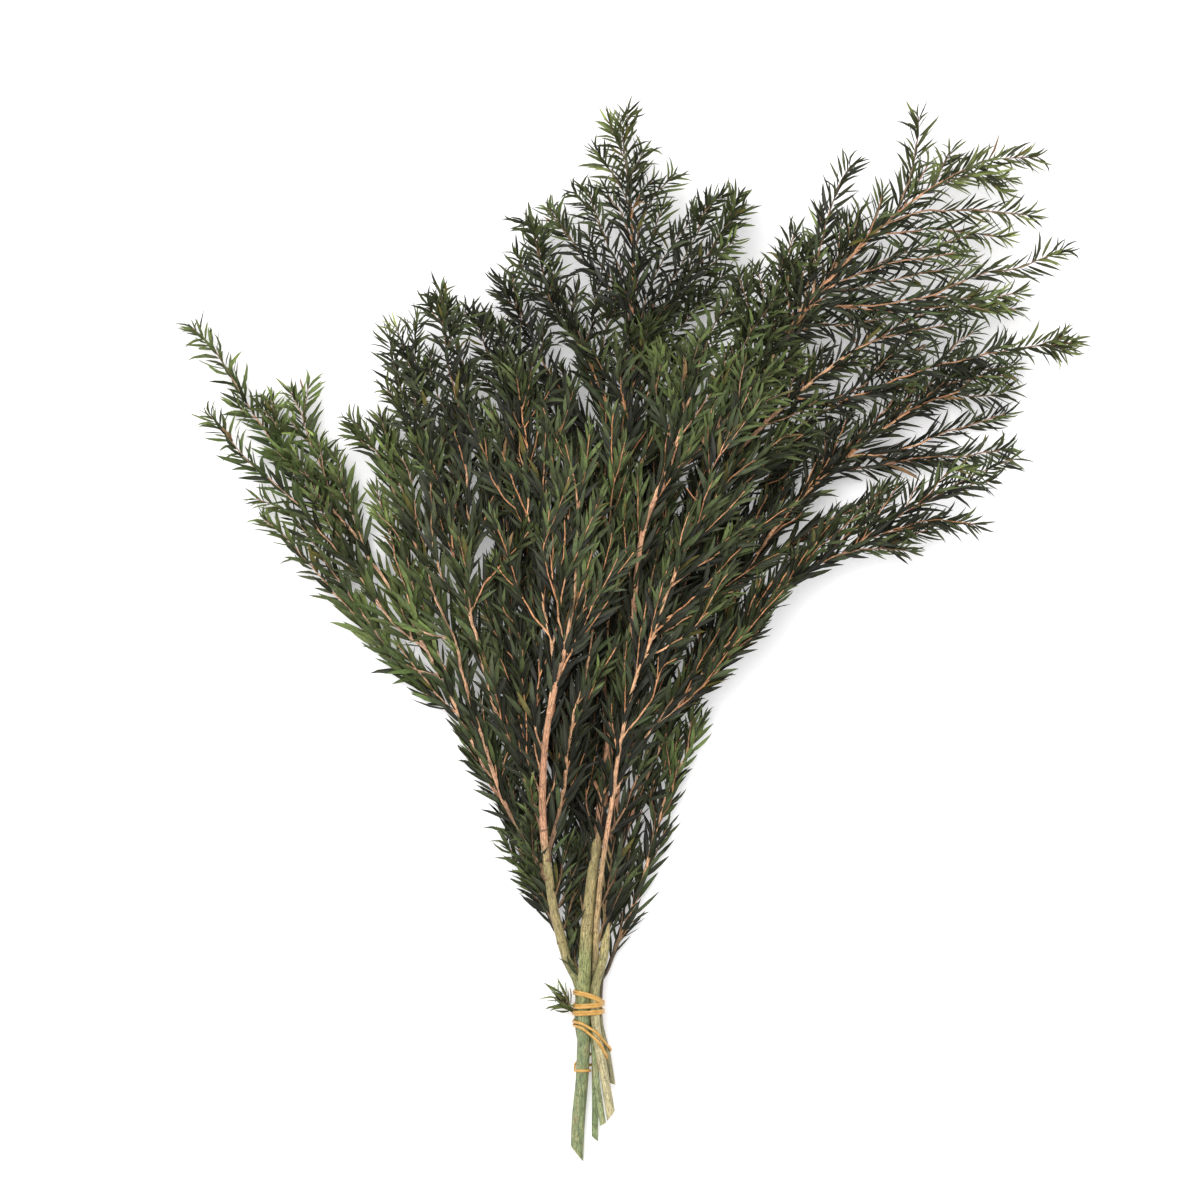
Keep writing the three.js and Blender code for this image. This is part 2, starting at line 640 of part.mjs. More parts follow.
// The point of a taut loop round the given trunks, in one direction
function loopPoint(trunks, pixelY, angle) {
  const y = place(0, pixelY, 0).y;
  const [nx, nz] = [Math.cos(radians(angle)), Math.sin(radians(angle))];
  const sections = trunks.map((line) => trunkSection(line, y)).filter(Boolean);
  const reach = (section) => section.x * nx + section.z * nz + section.radius;
  const outer = sections.reduce((a, b) => (reach(b) > reach(a) ? b : a));
  const away = outer.radius + BAND_GAP + BAND_RADIUS;
  return new THREE.Vector3(outer.x + nx * away, y, outer.z + nz * away);
}

function strandPoints(trunks, turns) {
  const points = [];
  for (let i = 0; i + 1 < turns.length; i += 1) {
    const [[fromAngle, fromY], [toAngle, toY]] = [turns[i], turns[i + 1]];
    const steps = Math.ceil((toAngle - fromAngle) / BAND_STEP);
    for (let k = 0; k < steps; k += 1) {
      const t = k / steps;
      points.push(loopPoint(trunks, mix(fromY, toY, t), mix(fromAngle, toAngle, t)));
    }
  }
  const [angle, y] = turns[turns.length - 1];
  points.push(loopPoint(trunks, y, angle));
  return points;
}

// The band turns through the vertical, so its section is set by the bunch's own direction
function strandLine(points) {
  const radii = points.map(() => BAND_RADIUS);
  return { points, radii, sides: BAND_SIDES, up: new THREE.Vector3(0, 1, 0) };
}

function makeBand(stems) {
  const trunks = stems.map((stem) => stem.lines[0]);
  const first = strandPoints(trunks, BAND_TURNS);
  const second = strandPoints(trunks, SECOND_STRAND_TURNS);
  const hook = HOOK_ANGLES.map((angle) => loopPoint([trunks[0]], HOOK_Y, angle));
  const end = [first[first.length - 1], second[second.length - 1]];
  const strands = [[...hook.slice(0, 1), ...first], hook, [hook[hook.length - 1], ...second], end];
  const lines = strands.map(strandLine);
  const beads = [first[0], hook[0], hook[hook.length - 1]].map(bead);
  return { body: joined([...lines.map(tube), ...beads]), pieces: lines.flatMap(tubePieces) };
}

// A small bead that closes the corner where two strands meet
const BEAD_CORNERS = [[1, 0, 0], [-1, 0, 0], [0, 1, 0], [0, -1, 0], [0, 0, 1], [0, 0, -1]];
const BEAD_FACES = [[0, 2, 4], [2, 1, 4], [1, 3, 4], [3, 0, 4], [2, 0, 5], [1, 2, 5], [3, 1, 5], [0, 3, 5]];

function bead(centre) {
  const points = BEAD_CORNERS.map((corner) => new THREE.Vector3(...corner)
    .multiplyScalar(BEAD_RADIUS).add(centre));
  return solid(points, BEAD_FACES);
}

// Lay out the wood of every stem, bend it clear, then grow the leaves
const stems = STEMS.map((stem) => {
  const lines = [trunkLine(stem)];
  stem.shoots.forEach((spec) => lines.push(shootLine(spec, lines)));
  return { ...stem, lines, leaves: [] };
});
bendClear(stems);

const band = makeBand(stems);
const random = makeRandom(20);
stems.forEach((stem) => {
  stem.wood = stem.lines.map(tubePieces);
});
stems.forEach((stem) => {
  const others = stems.filter((other) => other !== stem)
    .flatMap((other) => [...other.wood.flat(), ...other.leaves])
    .concat(band.pieces);
  stem.lines.forEach((line, i) => {
    const own = [...stem.wood.filter((_, k) => k !== i).flat(), ...stem.leaves];
    const leafyFrom = i === 0 ? place(0, stem.leafyFrom, 0).y : -Infinity;
    stem.leaves.push(...growLeaves(line, own, others, leafyFrom, random));
  });
});

const bodies = stems.map((stem) => joined([
  ...stem.lines.map(tube),
  ...stem.leaves.map((leaf) => solid(leaf.points, LEAF_FACES)),
]));

// Put the origin under the middle of the whole bunch
const box = new THREE.Box3();
[...bodies, band.body].forEach((body) => {
  const { min, max } = body.boundingBox();
  box.expandByPoint(new THREE.Vector3(...min));
  box.expandByPoint(new THREE.Vector3(...max));
});
const shift = new THREE.Vector3(-(box.min.x + box.max.x) / 2, -(box.min.y + box.max.y) / 2, -box.min.z);

const bunch = new THREE.Group();
const stemFinish = new THREE.MeshStandardMaterial({ color: COLOURS.stem, roughness: 0.7, metalness: 0 });
const bandFinish = new THREE.MeshStandardMaterial({ color: COLOURS.band, roughness: 0.5, metalness: 0 });
bodies.forEach((body, i) => {
  const mesh = new THREE.Mesh(finished(body, shift), stemFinish);
  mesh.name = stems[i].name;
  bunch.add(mesh);
});
const bandMesh = new THREE.Mesh(finished(band.body, shift), bandFinish);
bandMesh.name = 'rubber_band';
bunch.add(bandMesh);

export default bunch;
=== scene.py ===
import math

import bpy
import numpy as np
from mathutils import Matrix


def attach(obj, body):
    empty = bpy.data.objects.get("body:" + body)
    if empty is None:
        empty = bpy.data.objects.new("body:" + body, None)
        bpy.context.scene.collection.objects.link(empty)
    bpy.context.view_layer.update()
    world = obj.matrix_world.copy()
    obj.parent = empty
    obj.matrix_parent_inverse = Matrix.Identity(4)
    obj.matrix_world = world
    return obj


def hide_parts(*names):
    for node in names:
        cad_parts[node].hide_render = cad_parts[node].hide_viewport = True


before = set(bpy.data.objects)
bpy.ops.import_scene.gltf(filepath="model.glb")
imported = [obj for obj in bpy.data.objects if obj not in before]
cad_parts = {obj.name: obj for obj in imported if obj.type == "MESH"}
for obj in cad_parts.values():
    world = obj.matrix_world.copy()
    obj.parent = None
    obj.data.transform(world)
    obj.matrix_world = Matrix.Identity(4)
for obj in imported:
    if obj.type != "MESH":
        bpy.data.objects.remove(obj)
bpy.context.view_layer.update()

# The looks of a tied bunch of preserved melaleuca: bark, leaves and rubber band, built over the CAD solids.
#
# Lengths are in millimetres and are turned into metres when a mesh is made. The trunks and main shoots follow
# the routes of the CAD source, a few moved by some pixels, and finer twigs are added to them. The plan of
# every route was chosen in the pixels of a photograph taken from straight above, and heights are in
# millimetres.

MM = 0.001

# Scale of the plan, the pixel over the frame's origin, and the photograph's frame
PIXEL = 0.565
ORIGIN_PIXEL = (634.559, 630.706)
PHOTO_CENTRE = (600, 600)
PHOTO_WIDTH = 1200

# The tie, where the stems run side by side
TIE_X = 590
TIE_LOW_Y = 1024
TIE_HIGH_Y = 988

# Wood
TRUNK_SIDES = 18
SHOOT_SIDES = 7
SPUR_SIDES = 5
TRUNK_STEP = 2.2
SHOOT_STEP = 3.4
SHOOT_RADIUS = 0.78
SPUR_RADIUS = 0.48
BARE_RADIUS = 0.6
TIP_RADIUS = 0.32
TRUNK_TIP_RADIUS = 0.6
TRUNK_TAPER = 1.25
THINNING_FROM = 0.8
SHOOT_TAPER = 0.6
ROOT_SHARE = 0.8
RISE_START = -0.25
TIP_PULL_BACK = 9
POINTS_PER_SPAN = 32

# How a twig wavers: by how much, the lengths of its waves, and the share of it that goes up and down
WIGGLE = 0.36
WAVE_LENGTHS = (62, 27, 13)
USUAL_WAVE = 27
WIGGLE_RISE = 0.6

# Relief of the wood: ripples, knots, the collar at a shoot's root, the slanted cut and the ends' inner rings
# as shares of the radius and how far each is sunk. Every phase is a part of a turn.
TURN = 6.3
RIPPLES = 7
RIPPLE_DEPTH = 0.016
RIPPLE_SPEED = (0.02, 0.22)
KNOT_SPACING = 16
KNOT_REACH = 1.8
KNOT_HEIGHT = (0.06, 0.16)
COLLAR_HEIGHT = 0.55
COLLAR_REACH = 2.2
SLANT_REACH = 4
LOWEST_WOOD = 0.05
CAP_RINGS = ((0.93, -0.02), (0.8, 0.03), (0.5, 0.0), (0.2, 0.05))

# Places of the wood's materials in its list
BARK_SLOT = 0
CUT_SLOT = 1

# Radii between which wood grows from young to old, from thin to not thin, and a trunk's from thin to thick
OLD_RADII = (0.7, 1.8)
THIN_RADII = (0.3, 0.75)
THICK_RADII = (0.9, 2)

# Pixel rows between which low shoots fall into shade, bark turns pale, and trunks take their own colours of
# the tie and of the cut end
SHADE_ROWS = (765, 835)
PALE_ROWS = (815, 850)
TIE_ROWS = (925, 965)
CUT_ROWS = (985, 1035)
ROW_SPREAD = 18
BARK_TONE = (0.85, 1.15)

# Short side twigs. Step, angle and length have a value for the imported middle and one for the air, and the
# spreads of step and length are a lowest and a highest factor. The first is this far from the tip.
FIRST_SPUR = (12, 24)
SPUR_ROOM = 16
SPUR_STEP = (19, 20)
SPUR_STEP_SPREAD = (0.7, 1.4)
SPUR_ANGLE = (17, 38)
SPUR_ANGLE_SPREAD = 4
SPUR_LENGTH = (42, 16)
SPUR_LENGTH_SPREAD = (0.7, 1.25)
SPUR_TILT = 0.7
SPUR_LEAN_BACK = 0.3
SPUR_TIP_SHARE = 0.8
SPUR_LEAFLESS_SHARE = 0.6
SPUR_POINTS = 7
AIRY_CALM = 0.3

# Leaves, by how far they are from the tip of their shoot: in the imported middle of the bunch, where they lie
# close, and out in the air, where they are short and stand away from the twig
LEAFLESS_ROOT = 3
GOLDEN_ANGLE = 137.5
LEAF_THICKNESS = 0.3
FROM_TIP = [0, 6, 20, 50, 100, 170]
PACKED_SPACING = [1.3, 1.5, 1.7, 1.9, 2.1, 2.4]
PACKED_LENGTH = [9, 13, 16.5, 18.5, 20, 20.5]
PACKED_OPENING = [8, 15, 20, 20, 18, 15]
AIRY_SPACING = [0.62, 0.92, 1.18, 1.42, 1.7, 2.1]
AIRY_LENGTH = [11.5, 14, 16, 17, 18, 19]
AIRY_OPENING = [24, 42, 48, 44, 34, 24]
LEAF_GRID = 160
SPOT_SPREAD = 0.35

# Chance in the shape of leaves. The pull of turns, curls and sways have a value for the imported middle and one
# for the air, lengths and widths a lowest and a highest factor, and facing up a middle and a spread.
TURN_SPREAD = 12
TURN_PULL = (0.3, 0.12)
LENGTH_SPREAD = (0.7, 1.22)
WIDTH_SPREAD = (0.85, 1.15)
OPENING_SPREAD = 7
CURL = (6, 10)
CURL_SPREAD = (14, 36)
SWAY_SPREAD = (0.12, 0.28)
FACING_UP = (0.6, 0.22)
LEAF_TWIST = 0.35
LEAF_ROOT_SHARE = 0.7

# The share of leaves that leave the top of their twig clear, and how far they keep from it
CLEAR_TOP = 1.05
CLEAR_SHARE = 0.66
CLEAR_LOSS_IN_GREEN = 0.6
CLEAR_LOSS_IN_SLATE = 0.75
CLEAR_LOSS_BELOW = 0.6

# Width of a leaf as a share of its length, the hollow along it as a share of its half width, how far its rib
# stands up in that, and where along it the bend is none
NARROW_LEAF = 0.098
MIDDLING_LEAF = 0.14
BROAD_LEAF = 0.15
LEAF_DISH = 0.34
RIB_RISE = 0.4
STRAIGHT_STATION = 0.15

# Colour of leaves: how near the tip they are young, and how strongly chance and place act on them
YOUNG_REACH = 60
TWIG_GREEN_SPREAD = 0.09
LEAF_GREEN_SPREAD = 0.14
YOUNG_GREEN = 0.3
HIGH_GREEN = 0.05
MOST_GREEN = 1.1
SLATE_CHANCE = 0.7
YOUNG_SLATE_LOSS = 0.5
PALE_SPREAD = (0.2, 1.3)
YOUNG_PALE = 0.22
TWIG_TONE_SPREAD = 0.2
LEAF_TONE_SPREAD = 0.28
DARK_LEAF_SHARE = 0.48
DARK_LEAF_LOSS_IN_GREEN = 0.8
DARK_LEAF_TONE = 0.36
LIGHT_LEAF_TONE = 1.2
# Painted light: how much lighter leaves on top of the bunch's middle are made
TOP_PAINTED_LIGHT = 0.1
# Painted shade: how much darker leaves, trunks and shoots are made where they lie under the rest of the bunch
COVERED_LEAF_PAINTED_SHADE = 0.88
COVERED_TRUNK_PAINTED_SHADE = 0.25
COVERED_SHOOT_PAINTED_SHADE = 0.6
OLIVE_CHANCE = 0.015
DRY_CHANCE = 0.003
SEEDS = 100
BARK_SEEDS = 900

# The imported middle: the pixel at its centre, and how far from it the air starts and is all round
PACKED_MIDDLE = (612, 640)
PACKED_REACH = (195, 320)

# Rows towards the tie where the air ends, and where leaves no longer keep clear of the top of their twig
AIR_END_ROWS = (700, 820)
CLEAR_END_ROWS = (640, 760)

# Heights over which wood and leaves come out of the cover of the rest and its painted shade, and over which
# they are on top, where leaves get painted light
COVER_HEIGHTS = (16, 54)
TOP_HEIGHTS = (36, 58)

# Twigs out in the air, and twigs hidden under the rest, have plainer leaves
AIRY_FROM = 0.5
HIDDEN_FROM = 0.25

# Above this pixel row side twigs may also lean away from the bunch
SPREAD_Y = 560

# Rubber band
BAND_RADIUS = 0.74
BAND_GAP = 0.2
BAND_SIDES = 14
BAND_STEP = 6
BAND_BOW = 2.3
BAND_POINT_STEP = 0.9
BAND_FLAT = 0.9
BAND_WIDE = 1.08
HOOK_POINTS = 36
HOOK_Y = 1072
HOOK_ANGLES = (-118, 200)
CORNER_ROUNDS = 6
BELOW_TIE_Y = 1034
SECOND_STRAND_HOLDS = (0, 1, 2, 3, 6)

# Near these heights the bunch is pressed flat: by the surface below, and above by its own wrapping
GROUND_SOFTNESS = 3.0
PRESSED_FROM = 54
PRESSED_REACH = 11.5

# Angles in degrees up to which faces are shaded smoothly
WOOD_CREASE = 50
LEAF_CREASE = 70
BAND_CREASE = 60

# Floor, light and camera: lengths in metres, the lamp's power in watts and the sensor in millimetres
FLOOR_SIZE = 40
FLOOR_GLOW = 0.26
SKY_STRENGTH = 0.93
LAMP_PLACE = (-1.2, 1.1, 4.2)
LAMP_SIZE = 3.8
LAMP_POWER = 146
CAMERA_HEIGHT = 5.0
PLAN_HEIGHT = 0.025
SENSOR = 36
FAR_END = 100

# The shoots of each stem, in the order in which they grow. A row is the height of the tip, then the radius
# at the root where it isn't a plain shoot's, then the plan: x and y of each point. The first point says
# where the shoot starts, on the nearest earlier wood of its stem.
CENTRE_SHOOTS = [
    (24, 865, 345, 873, 315, 880, 293),
    (20, 880, 338, 910, 318, 950, 310, 990, 305, 1032, 312),
    (23, 795, 398, 830, 403, 870, 390, 950, 362, 1000, 352, 1088, 340),
    (40, 648, 590, 660, 550, 664, 510, 672, 475),
    (25, 690, 520, 725, 505, 757, 475, 785, 450),
    (27, 622, 670, 650, 645, 672, 610, 700, 585),
    (24, 611, 735, 640, 700, 655, 672, 690, 640),
    (18, 603, 800, 585, 760, 577, 720, 572, 690),
    (26, 765, 425, 775, 385, 790, 350, 800, 330),
    (22, 735, 465, 760, 445, 790, 430, 825, 411, 860, 398, 890, 388, 925, 388),
    (27, 830, 400, 862, 385, 885, 360, 905, 345, 925, 332),
    (24, 930, 355, 955, 345, 970, 335, 985, 320),
    (20, 603, 800, 590, 760, 588, 720, 592, 680, 590, 650),
    (30, 690, 520, 700, 485, 715, 450, 728, 425),
    (22, 640, 620, 665, 590, 690, 560, 712, 540),
    (28, 860, 348, 850, 325, 848, 305, 855, 285),
    (12, 588, 930, 580, 895, 578, 865, 584, 830),
    (14, 591, 890, 586, 855, 583, 825, 588, 795),
    (22, 597, 850, 588, 815, 585, 785, 592, 750),
    (26, 618, 690, 630, 655, 645, 630, 655, 605),
    (8, 584, 960, 577, 935, 576, 912, 580, 890),
    (30, 645, 600, 640, 560, 645, 525, 640, 500),
    (22, 800, 394, 825, 375, 850, 362, 880, 352),
    (24, 845, 362, 870, 368, 900, 372, 935, 368),
    (18, 640, 600, 648, 560, 652, 515, 656, 475, 662, 432),
    (16, 655, 580, 680, 560, 700, 540, 716, 512),
    (20, 800, 392, 808, 372, 818, 356, 832, 342),
    (22, 1036, 345, 1050, 341, 1063, 336, 1078, 328),
    (20, 1044, 345, 1058, 346, 1070, 349, 1083, 354),
    (18, 870, 368, 892, 357, 915, 350, 942, 345),
    (22, 984, 353, 1002, 347, 1020, 338),
    (9, 640, 640, 652, 600, 654, 560, 650, 520, 646, 482, 648, 452),
    (10, 665, 645, 680, 600, 690, 560, 695, 520, 698, 484, 704, 452),
    (10, 690, 620, 712, 580, 728, 545, 740, 512, 750, 480),
    (11, 700, 560, 716, 525, 724, 490, 736, 458),
    (22, 768, 500, 784, 476, 796, 456, 806, 434),
    (10, 583, 985, 577, 968, 573, 945, 570, 915),
]
LEFT_SHOOTS = [
    (7, 2.2, 562, 942, 546, 905, 526, 860, 505, 810, 487, 770, 458, 715, 432, 660, 408, 618, 380, 573, 335,
     513, 300, 480, 268, 438, 240, 392, 213, 350, 180, 315),
    (24, 2.2, 549, 880, 530, 850, 515, 822, 500, 790, 476, 720, 455, 645, 430, 585, 412, 535, 392, 485, 370,
     440, 340, 408),
    (42, 2, 541, 832, 520, 765, 500, 720, 482, 660, 466, 590, 469, 525, 465, 445, 446, 345, 440, 275),
    (50, 1.8, 549, 860, 557, 820, 568, 757, 575, 710, 590, 655, 593, 600, 586, 545),
    (46, 1.8, 549, 715, 553, 660, 541, 585, 530, 520, 527, 450, 515, 360),
    (38, 470, 612, 446, 584, 432, 530, 431, 470, 425, 410, 408, 360, 392, 313),
    (36, 431, 478, 412, 430, 395, 400, 378, 376),
    (44, 475, 615, 486, 585, 500, 560, 512, 540),
    (44, 528, 520, 505, 500, 491, 470, 480, 415),
    (52, 535, 550, 545, 500, 550, 455, 560, 415),
    (58, 560, 660, 572, 630, 585, 600, 588, 575),
    (56, 566, 645, 556, 600, 550, 555, 546, 520),
    (16, 425, 650, 395, 625, 345, 560, 295, 503, 235, 447, 200, 403),
    (8, 440, 675, 405, 665, 355, 605, 318, 550, 285, 512, 240, 491),
    (4, 460, 715, 431, 700, 392, 660, 356, 620, 304, 558, 276, 530, 251, 510),
    (13, 365, 552, 350, 505, 340, 470, 328, 440),
    (13, 335, 513, 320, 465, 300, 415, 283, 376),
    (12, 295, 475, 282, 440, 272, 410, 268, 383),
    (6, 505, 810, 490, 784, 469, 750, 455, 724),
    (22, 452, 640, 420, 628, 413, 590, 395, 530, 365, 503),
    (30, 432, 590, 418, 520, 408, 470, 392, 443),
    (9, 579, 1019.5, 568, 1008, 558, 997, 548, 982),
    (36, 543, 800, 525, 745, 518, 705, 520, 672, 525, 640, 524, 610),
    (34, 520, 672, 512, 655, 500, 640, 488, 620, 478, 600),
    (40, 524, 650, 516, 627, 505, 610, 495, 590),
    (44, 541, 640, 530, 610, 515, 588, 500, 570, 488, 550),
    (60, 549, 702, 562, 672, 575, 645, 586, 618, 597, 590, 600, 565),
    (62, 556, 650, 559, 615, 564, 590, 571, 566, 582, 540),
    (60, 557, 600, 549, 575, 545, 548, 548, 520, 552, 495),
    (30, 543, 780, 530, 730, 510, 690, 500, 650, 496, 620),
    (40, 541, 760, 535, 720, 540, 680, 535, 640, 530, 600),
    (28, 500, 790, 505, 760, 512, 735, 508, 700),
    (40, 466, 590, 458, 570, 453, 540, 450, 505, 447, 480),
    (38, 452, 520, 444, 498, 436, 475, 433, 450, 428, 425),
    (36, 466, 560, 480, 530, 492, 505, 495, 480, 500, 455),
    (42, 522, 490, 516, 455, 510, 420, 506, 385, 498, 345),
    (32, 425, 410, 420, 380, 415, 350, 418, 320, 424, 305),
    (48, 530, 430, 540, 404, 552, 388, 560, 372),
    (59, 556, 600, 562, 560, 565, 525, 566, 495, 570, 470),
    (12, 560, 935, 571, 905, 577, 880, 582, 850),
    (24, 553, 905, 562, 875, 566, 850, 575, 825),
    (12, 330, 505, 326, 478, 320, 452, 316, 426),
    (13, 345, 530, 322, 498, 302, 468, 286, 440),
    (38, 465, 470, 455, 430, 440, 400, 430, 370, 432, 340),
    (38, 458, 400, 462, 370, 455, 340, 450, 315),
    (44, 529, 480, 520, 455, 522, 430, 530, 400, 527, 370),
    (20, 400, 480, 392, 450, 383, 425, 376, 402),
    (14, 418, 625, 402, 580, 392, 540, 380, 505, 372, 475),
    (22, 468, 600, 462, 560, 458, 520, 455, 480, 452, 440, 450, 400),
    (8, 571, 975, 574, 955, 573, 930, 571, 905),
    (14, 386, 612, 361, 573, 339, 538, 319, 506, 301, 480),
    (8, 452, 712, 430, 688, 408, 660, 388, 632),
    (20, 486, 668, 474, 643, 463, 619, 452, 598),
    (12, 549, 882, 541, 852, 533, 824, 525, 796),
    (30, 552, 900, 540, 872, 528, 846, 515, 820),
    (31, 546, 872, 537, 842, 530, 814, 522, 786),
    (22, 557, 926, 545, 902, 532, 880, 519, 858),
    (22, 522, 852, 513, 818, 508, 786, 504, 756),
    (30, 512, 470, 506, 446, 500, 425, 497, 404),
    (28, 496, 546, 489, 520, 483, 496, 479, 470),
    (10, 538, 640, 528, 600, 519, 562, 512, 525, 507, 490, 503, 462),
    (10, 520, 720, 508, 680, 498, 640, 489, 602, 485, 566),
    (10, 562, 640, 566, 600, 572, 560, 578, 520, 582, 485, 588, 450),
    (40, 449, 335, 442, 308, 436, 285),
    (39, 449, 335, 450, 308, 452, 288),
    (9, 540, 895, 524, 870, 510, 850, 499, 825),
    (8, 551, 920, 540, 905, 528, 885, 520, 868),
    (34, 432, 450, 421, 425, 410, 410, 400, 396, 389, 385),
    (36, 408, 400, 398, 375, 392, 350, 388, 318),
    (8, 566, 958, 571, 930, 573, 905, 576, 875),
    (18, 556, 915, 566, 890, 572, 860, 576, 835),
    (34, 543, 810, 555, 780, 562, 745, 560, 715),
    (26, 500, 700, 492, 660, 488, 625, 480, 600),
    (40, 500, 620, 508, 585, 512, 560, 510, 535),
    (46, 530, 545, 522, 520, 515, 500, 508, 478),
    (10, 579, 1017, 567, 1006, 556, 999, 543, 990),
    (15, 574, 1014, 567, 1000, 561, 990, 556, 978),
    (8, 576, 1015, 567, 1010, 560, 1010, 552, 1011),
    (10, 553, 905, 560, 870, 565, 830, 568, 790, 570, 760),
    (20, 470, 700, 462, 665, 450, 640, 444, 612),
    (38, 447, 350, 457, 325, 470, 312, 474, 300),
    (30, 520, 600, 512, 570, 506, 540, 503, 510, 500, 490),
    (20, 458, 705, 444, 670, 432, 640, 424, 610, 416, 590),
    (16, 412, 640, 404, 615, 396, 590, 386, 568),
    (24, 505, 640, 500, 600, 494, 570, 497, 540),
    (30, 505, 690, 512, 650, 508, 615, 504, 590),
    (8, 548, 870, 553, 830, 555, 785, 553, 740, 556, 695),
    (9, 543, 820, 533, 770, 526, 720, 524, 670, 526, 620, 528, 575),
    (8, 545, 740, 556, 700, 566, 660, 574, 620, 572, 580),
    (10, 526, 620, 530, 590, 536, 555, 534, 515, 538, 480),
]
SPIRE_SHOOTS = [
    (26, 1.5, 620, 468, 607, 405, 582, 350, 560, 318, 545, 280, 528, 213),
    (24, 613, 478, 590, 432, 570, 400, 553, 370),
    (34, 612, 480, 580, 450, 545, 420, 515, 390, 488, 352, 468, 298),
    (26, 545, 420, 530, 385, 512, 350, 478, 308),
    (20, 541, 355, 520, 320, 507, 290, 492, 268),
    (28, 575, 342, 574, 310, 582, 273),
    (26, 630, 322, 605, 285, 575, 245, 545, 199),
    (30, 631, 318, 620, 270, 600, 225, 583, 177),
    (24, 629, 205, 612, 172, 600, 155, 585, 139),
    (27, 632, 257, 640, 225, 655, 195, 684, 167),
    (27, 629, 198, 632, 175, 650, 137),
    (26, 1.5, 632, 350, 655, 300, 675, 275, 695, 240, 712, 189),
    (24, 634, 352, 668, 305, 700, 265, 718, 238, 743, 190),
    (30, 632, 390, 650, 350, 665, 320, 680, 300),
    (24, 609, 560, 590, 520, 580, 480, 565, 455),
    (42, 634, 470, 630, 430, 622, 395, 617, 365, 612, 335),
    (30, 612, 492, 598, 477, 580, 455, 568, 440),
    (33, 632, 420, 645, 380, 655, 350, 668, 325),
    (22, 640, 350, 665, 310, 690, 285, 715, 262, 738, 250),
    (24, 636, 335, 650, 290, 668, 250, 690, 222, 703, 200),
    (27, 632, 300, 643, 262, 655, 228, 668, 192),
    (26, 632, 240, 622, 215, 608, 195, 598, 172),
    (27, 630, 220, 640, 195, 652, 182, 664, 172),
    (27, 632, 320, 618, 290, 600, 265, 590, 240, 583, 222),
    (26, 585, 350, 592, 320, 597, 295, 602, 270),
    (28, 607, 405, 600, 370, 606, 335, 608, 310, 605, 285),
    (30, 622, 400, 628, 365, 640, 330, 650, 305),
    (22, 560, 318, 548, 300, 530, 285, 520, 262, 513, 240),
    (24, 545, 280, 540, 255, 543, 235, 548, 215),
    (22, 590, 432, 575, 413, 562, 392, 550, 373, 538, 347, 525, 322, 514, 295, 512, 262),
    (30, 520, 400, 508, 365, 503, 338, 503, 312),
    (40, 587, 550, 588, 515, 593, 490, 603, 468),
    (34, 621, 470, 640, 440, 652, 415, 660, 385),
    (38, 609, 590, 625, 560, 632, 530, 640, 505),
    (20, 640, 370, 662, 345, 688, 320, 705, 300, 720, 285),
    (28, 608, 560, 598, 530, 590, 505, 586, 480),
    (27, 625, 160, 617, 141, 610, 123, 604, 107),
    (26, 624, 145, 628, 128, 628, 113, 624, 102),
    (26, 571, 242, 558, 224, 548, 208, 541, 195),
    (24, 722, 233, 732, 211, 738, 196, 741, 182),
    (24, 690, 312, 707, 292, 722, 277, 737, 264),
    (24, 598, 225, 585, 205, 572, 190, 566, 178),
    (24, 551, 250, 536, 235, 522, 222, 515, 212),
    (27, 700, 230, 705, 212, 722, 196, 728, 182),
    (26, 712, 245, 728, 225, 742, 212, 752, 200),
    (36, 610, 520, 602, 490, 606, 460, 600, 435),
    (36, 615, 500, 635, 475, 648, 450, 652, 425),
    (27, 575, 345, 565, 320, 556, 300, 560, 275),
    (30, 597, 390, 588, 360, 580, 335, 568, 312),
    (6, 594, 900, 585, 860, 578, 820, 574, 780, 575, 745),
    (10, 601, 790, 592, 750, 584, 710, 582, 670, 586, 630),
    (56, 1.25, 604, 700, 607, 650, 609, 600, 608, 545, 612, 500, 620, 462, 628, 428),
]
FRONT_SHOOTS = [
    (27, 1.7, 612, 795, 643, 740, 675, 708, 705, 670, 745, 625, 770, 602, 805, 572, 855, 545, 905, 513, 965,
     480, 1028, 452),
    (60, 702, 520, 712, 475, 725, 440, 742, 405, 762, 368),
    (46, 700, 530, 725, 485, 760, 455, 800, 425),
    (52, 788, 588, 800, 560, 815, 538),
    (30, 855, 545, 900, 528, 945, 520, 992, 527),
    (32, 835, 555, 880, 548, 925, 553),
    (50, 655, 630, 690, 600, 720, 580, 742, 560),
    (40, 675, 708, 705, 684, 738, 648, 770, 620),
    (55, 645, 655, 680, 640, 705, 615, 735, 598),
    (50, 622, 740, 650, 700, 665, 665, 690, 650),
    (34, 905, 513, 930, 495, 950, 470, 990, 470),
    (57, 668, 592, 684, 553, 697, 528, 712, 505, 722, 480),
    (50, 672, 590, 700, 566, 722, 549, 740, 534, 768, 518),
    (44, 660, 620, 690, 605, 712, 597, 748, 588),
    (48, 655, 640, 672, 626, 696, 615, 722, 612),
    (38, 745, 625, 752, 600, 760, 580, 768, 565),
    (34, 705, 670, 732, 645, 755, 628, 774, 612),
    (30, 862, 540, 880, 512, 895, 490, 907, 472),
    (28, 900, 515, 910, 500, 918, 486, 924, 472),
    (26, 880, 534, 910, 528, 940, 524, 970, 520),
    (36, 790, 585, 815, 550, 845, 525, 870, 505),
    (27, 856, 542, 866, 518, 876, 498, 885, 478),
    (26, 940, 493, 975, 483, 1005, 480),
    (58, BARE_RADIUS, 694, 508, 686, 488, 679, 475),
    (25, 595, 960, 603, 925, 607, 890, 613, 855, 620, 820, 627, 790),
    (27, 598, 915, 612, 880, 622, 845, 630, 812, 640, 780),
    (34, 604, 850, 602, 815, 606, 785, 600, 755),
    (32, 606, 845, 625, 805, 640, 770, 655, 735),
    (40, 613, 790, 628, 755, 640, 720, 658, 690),
]
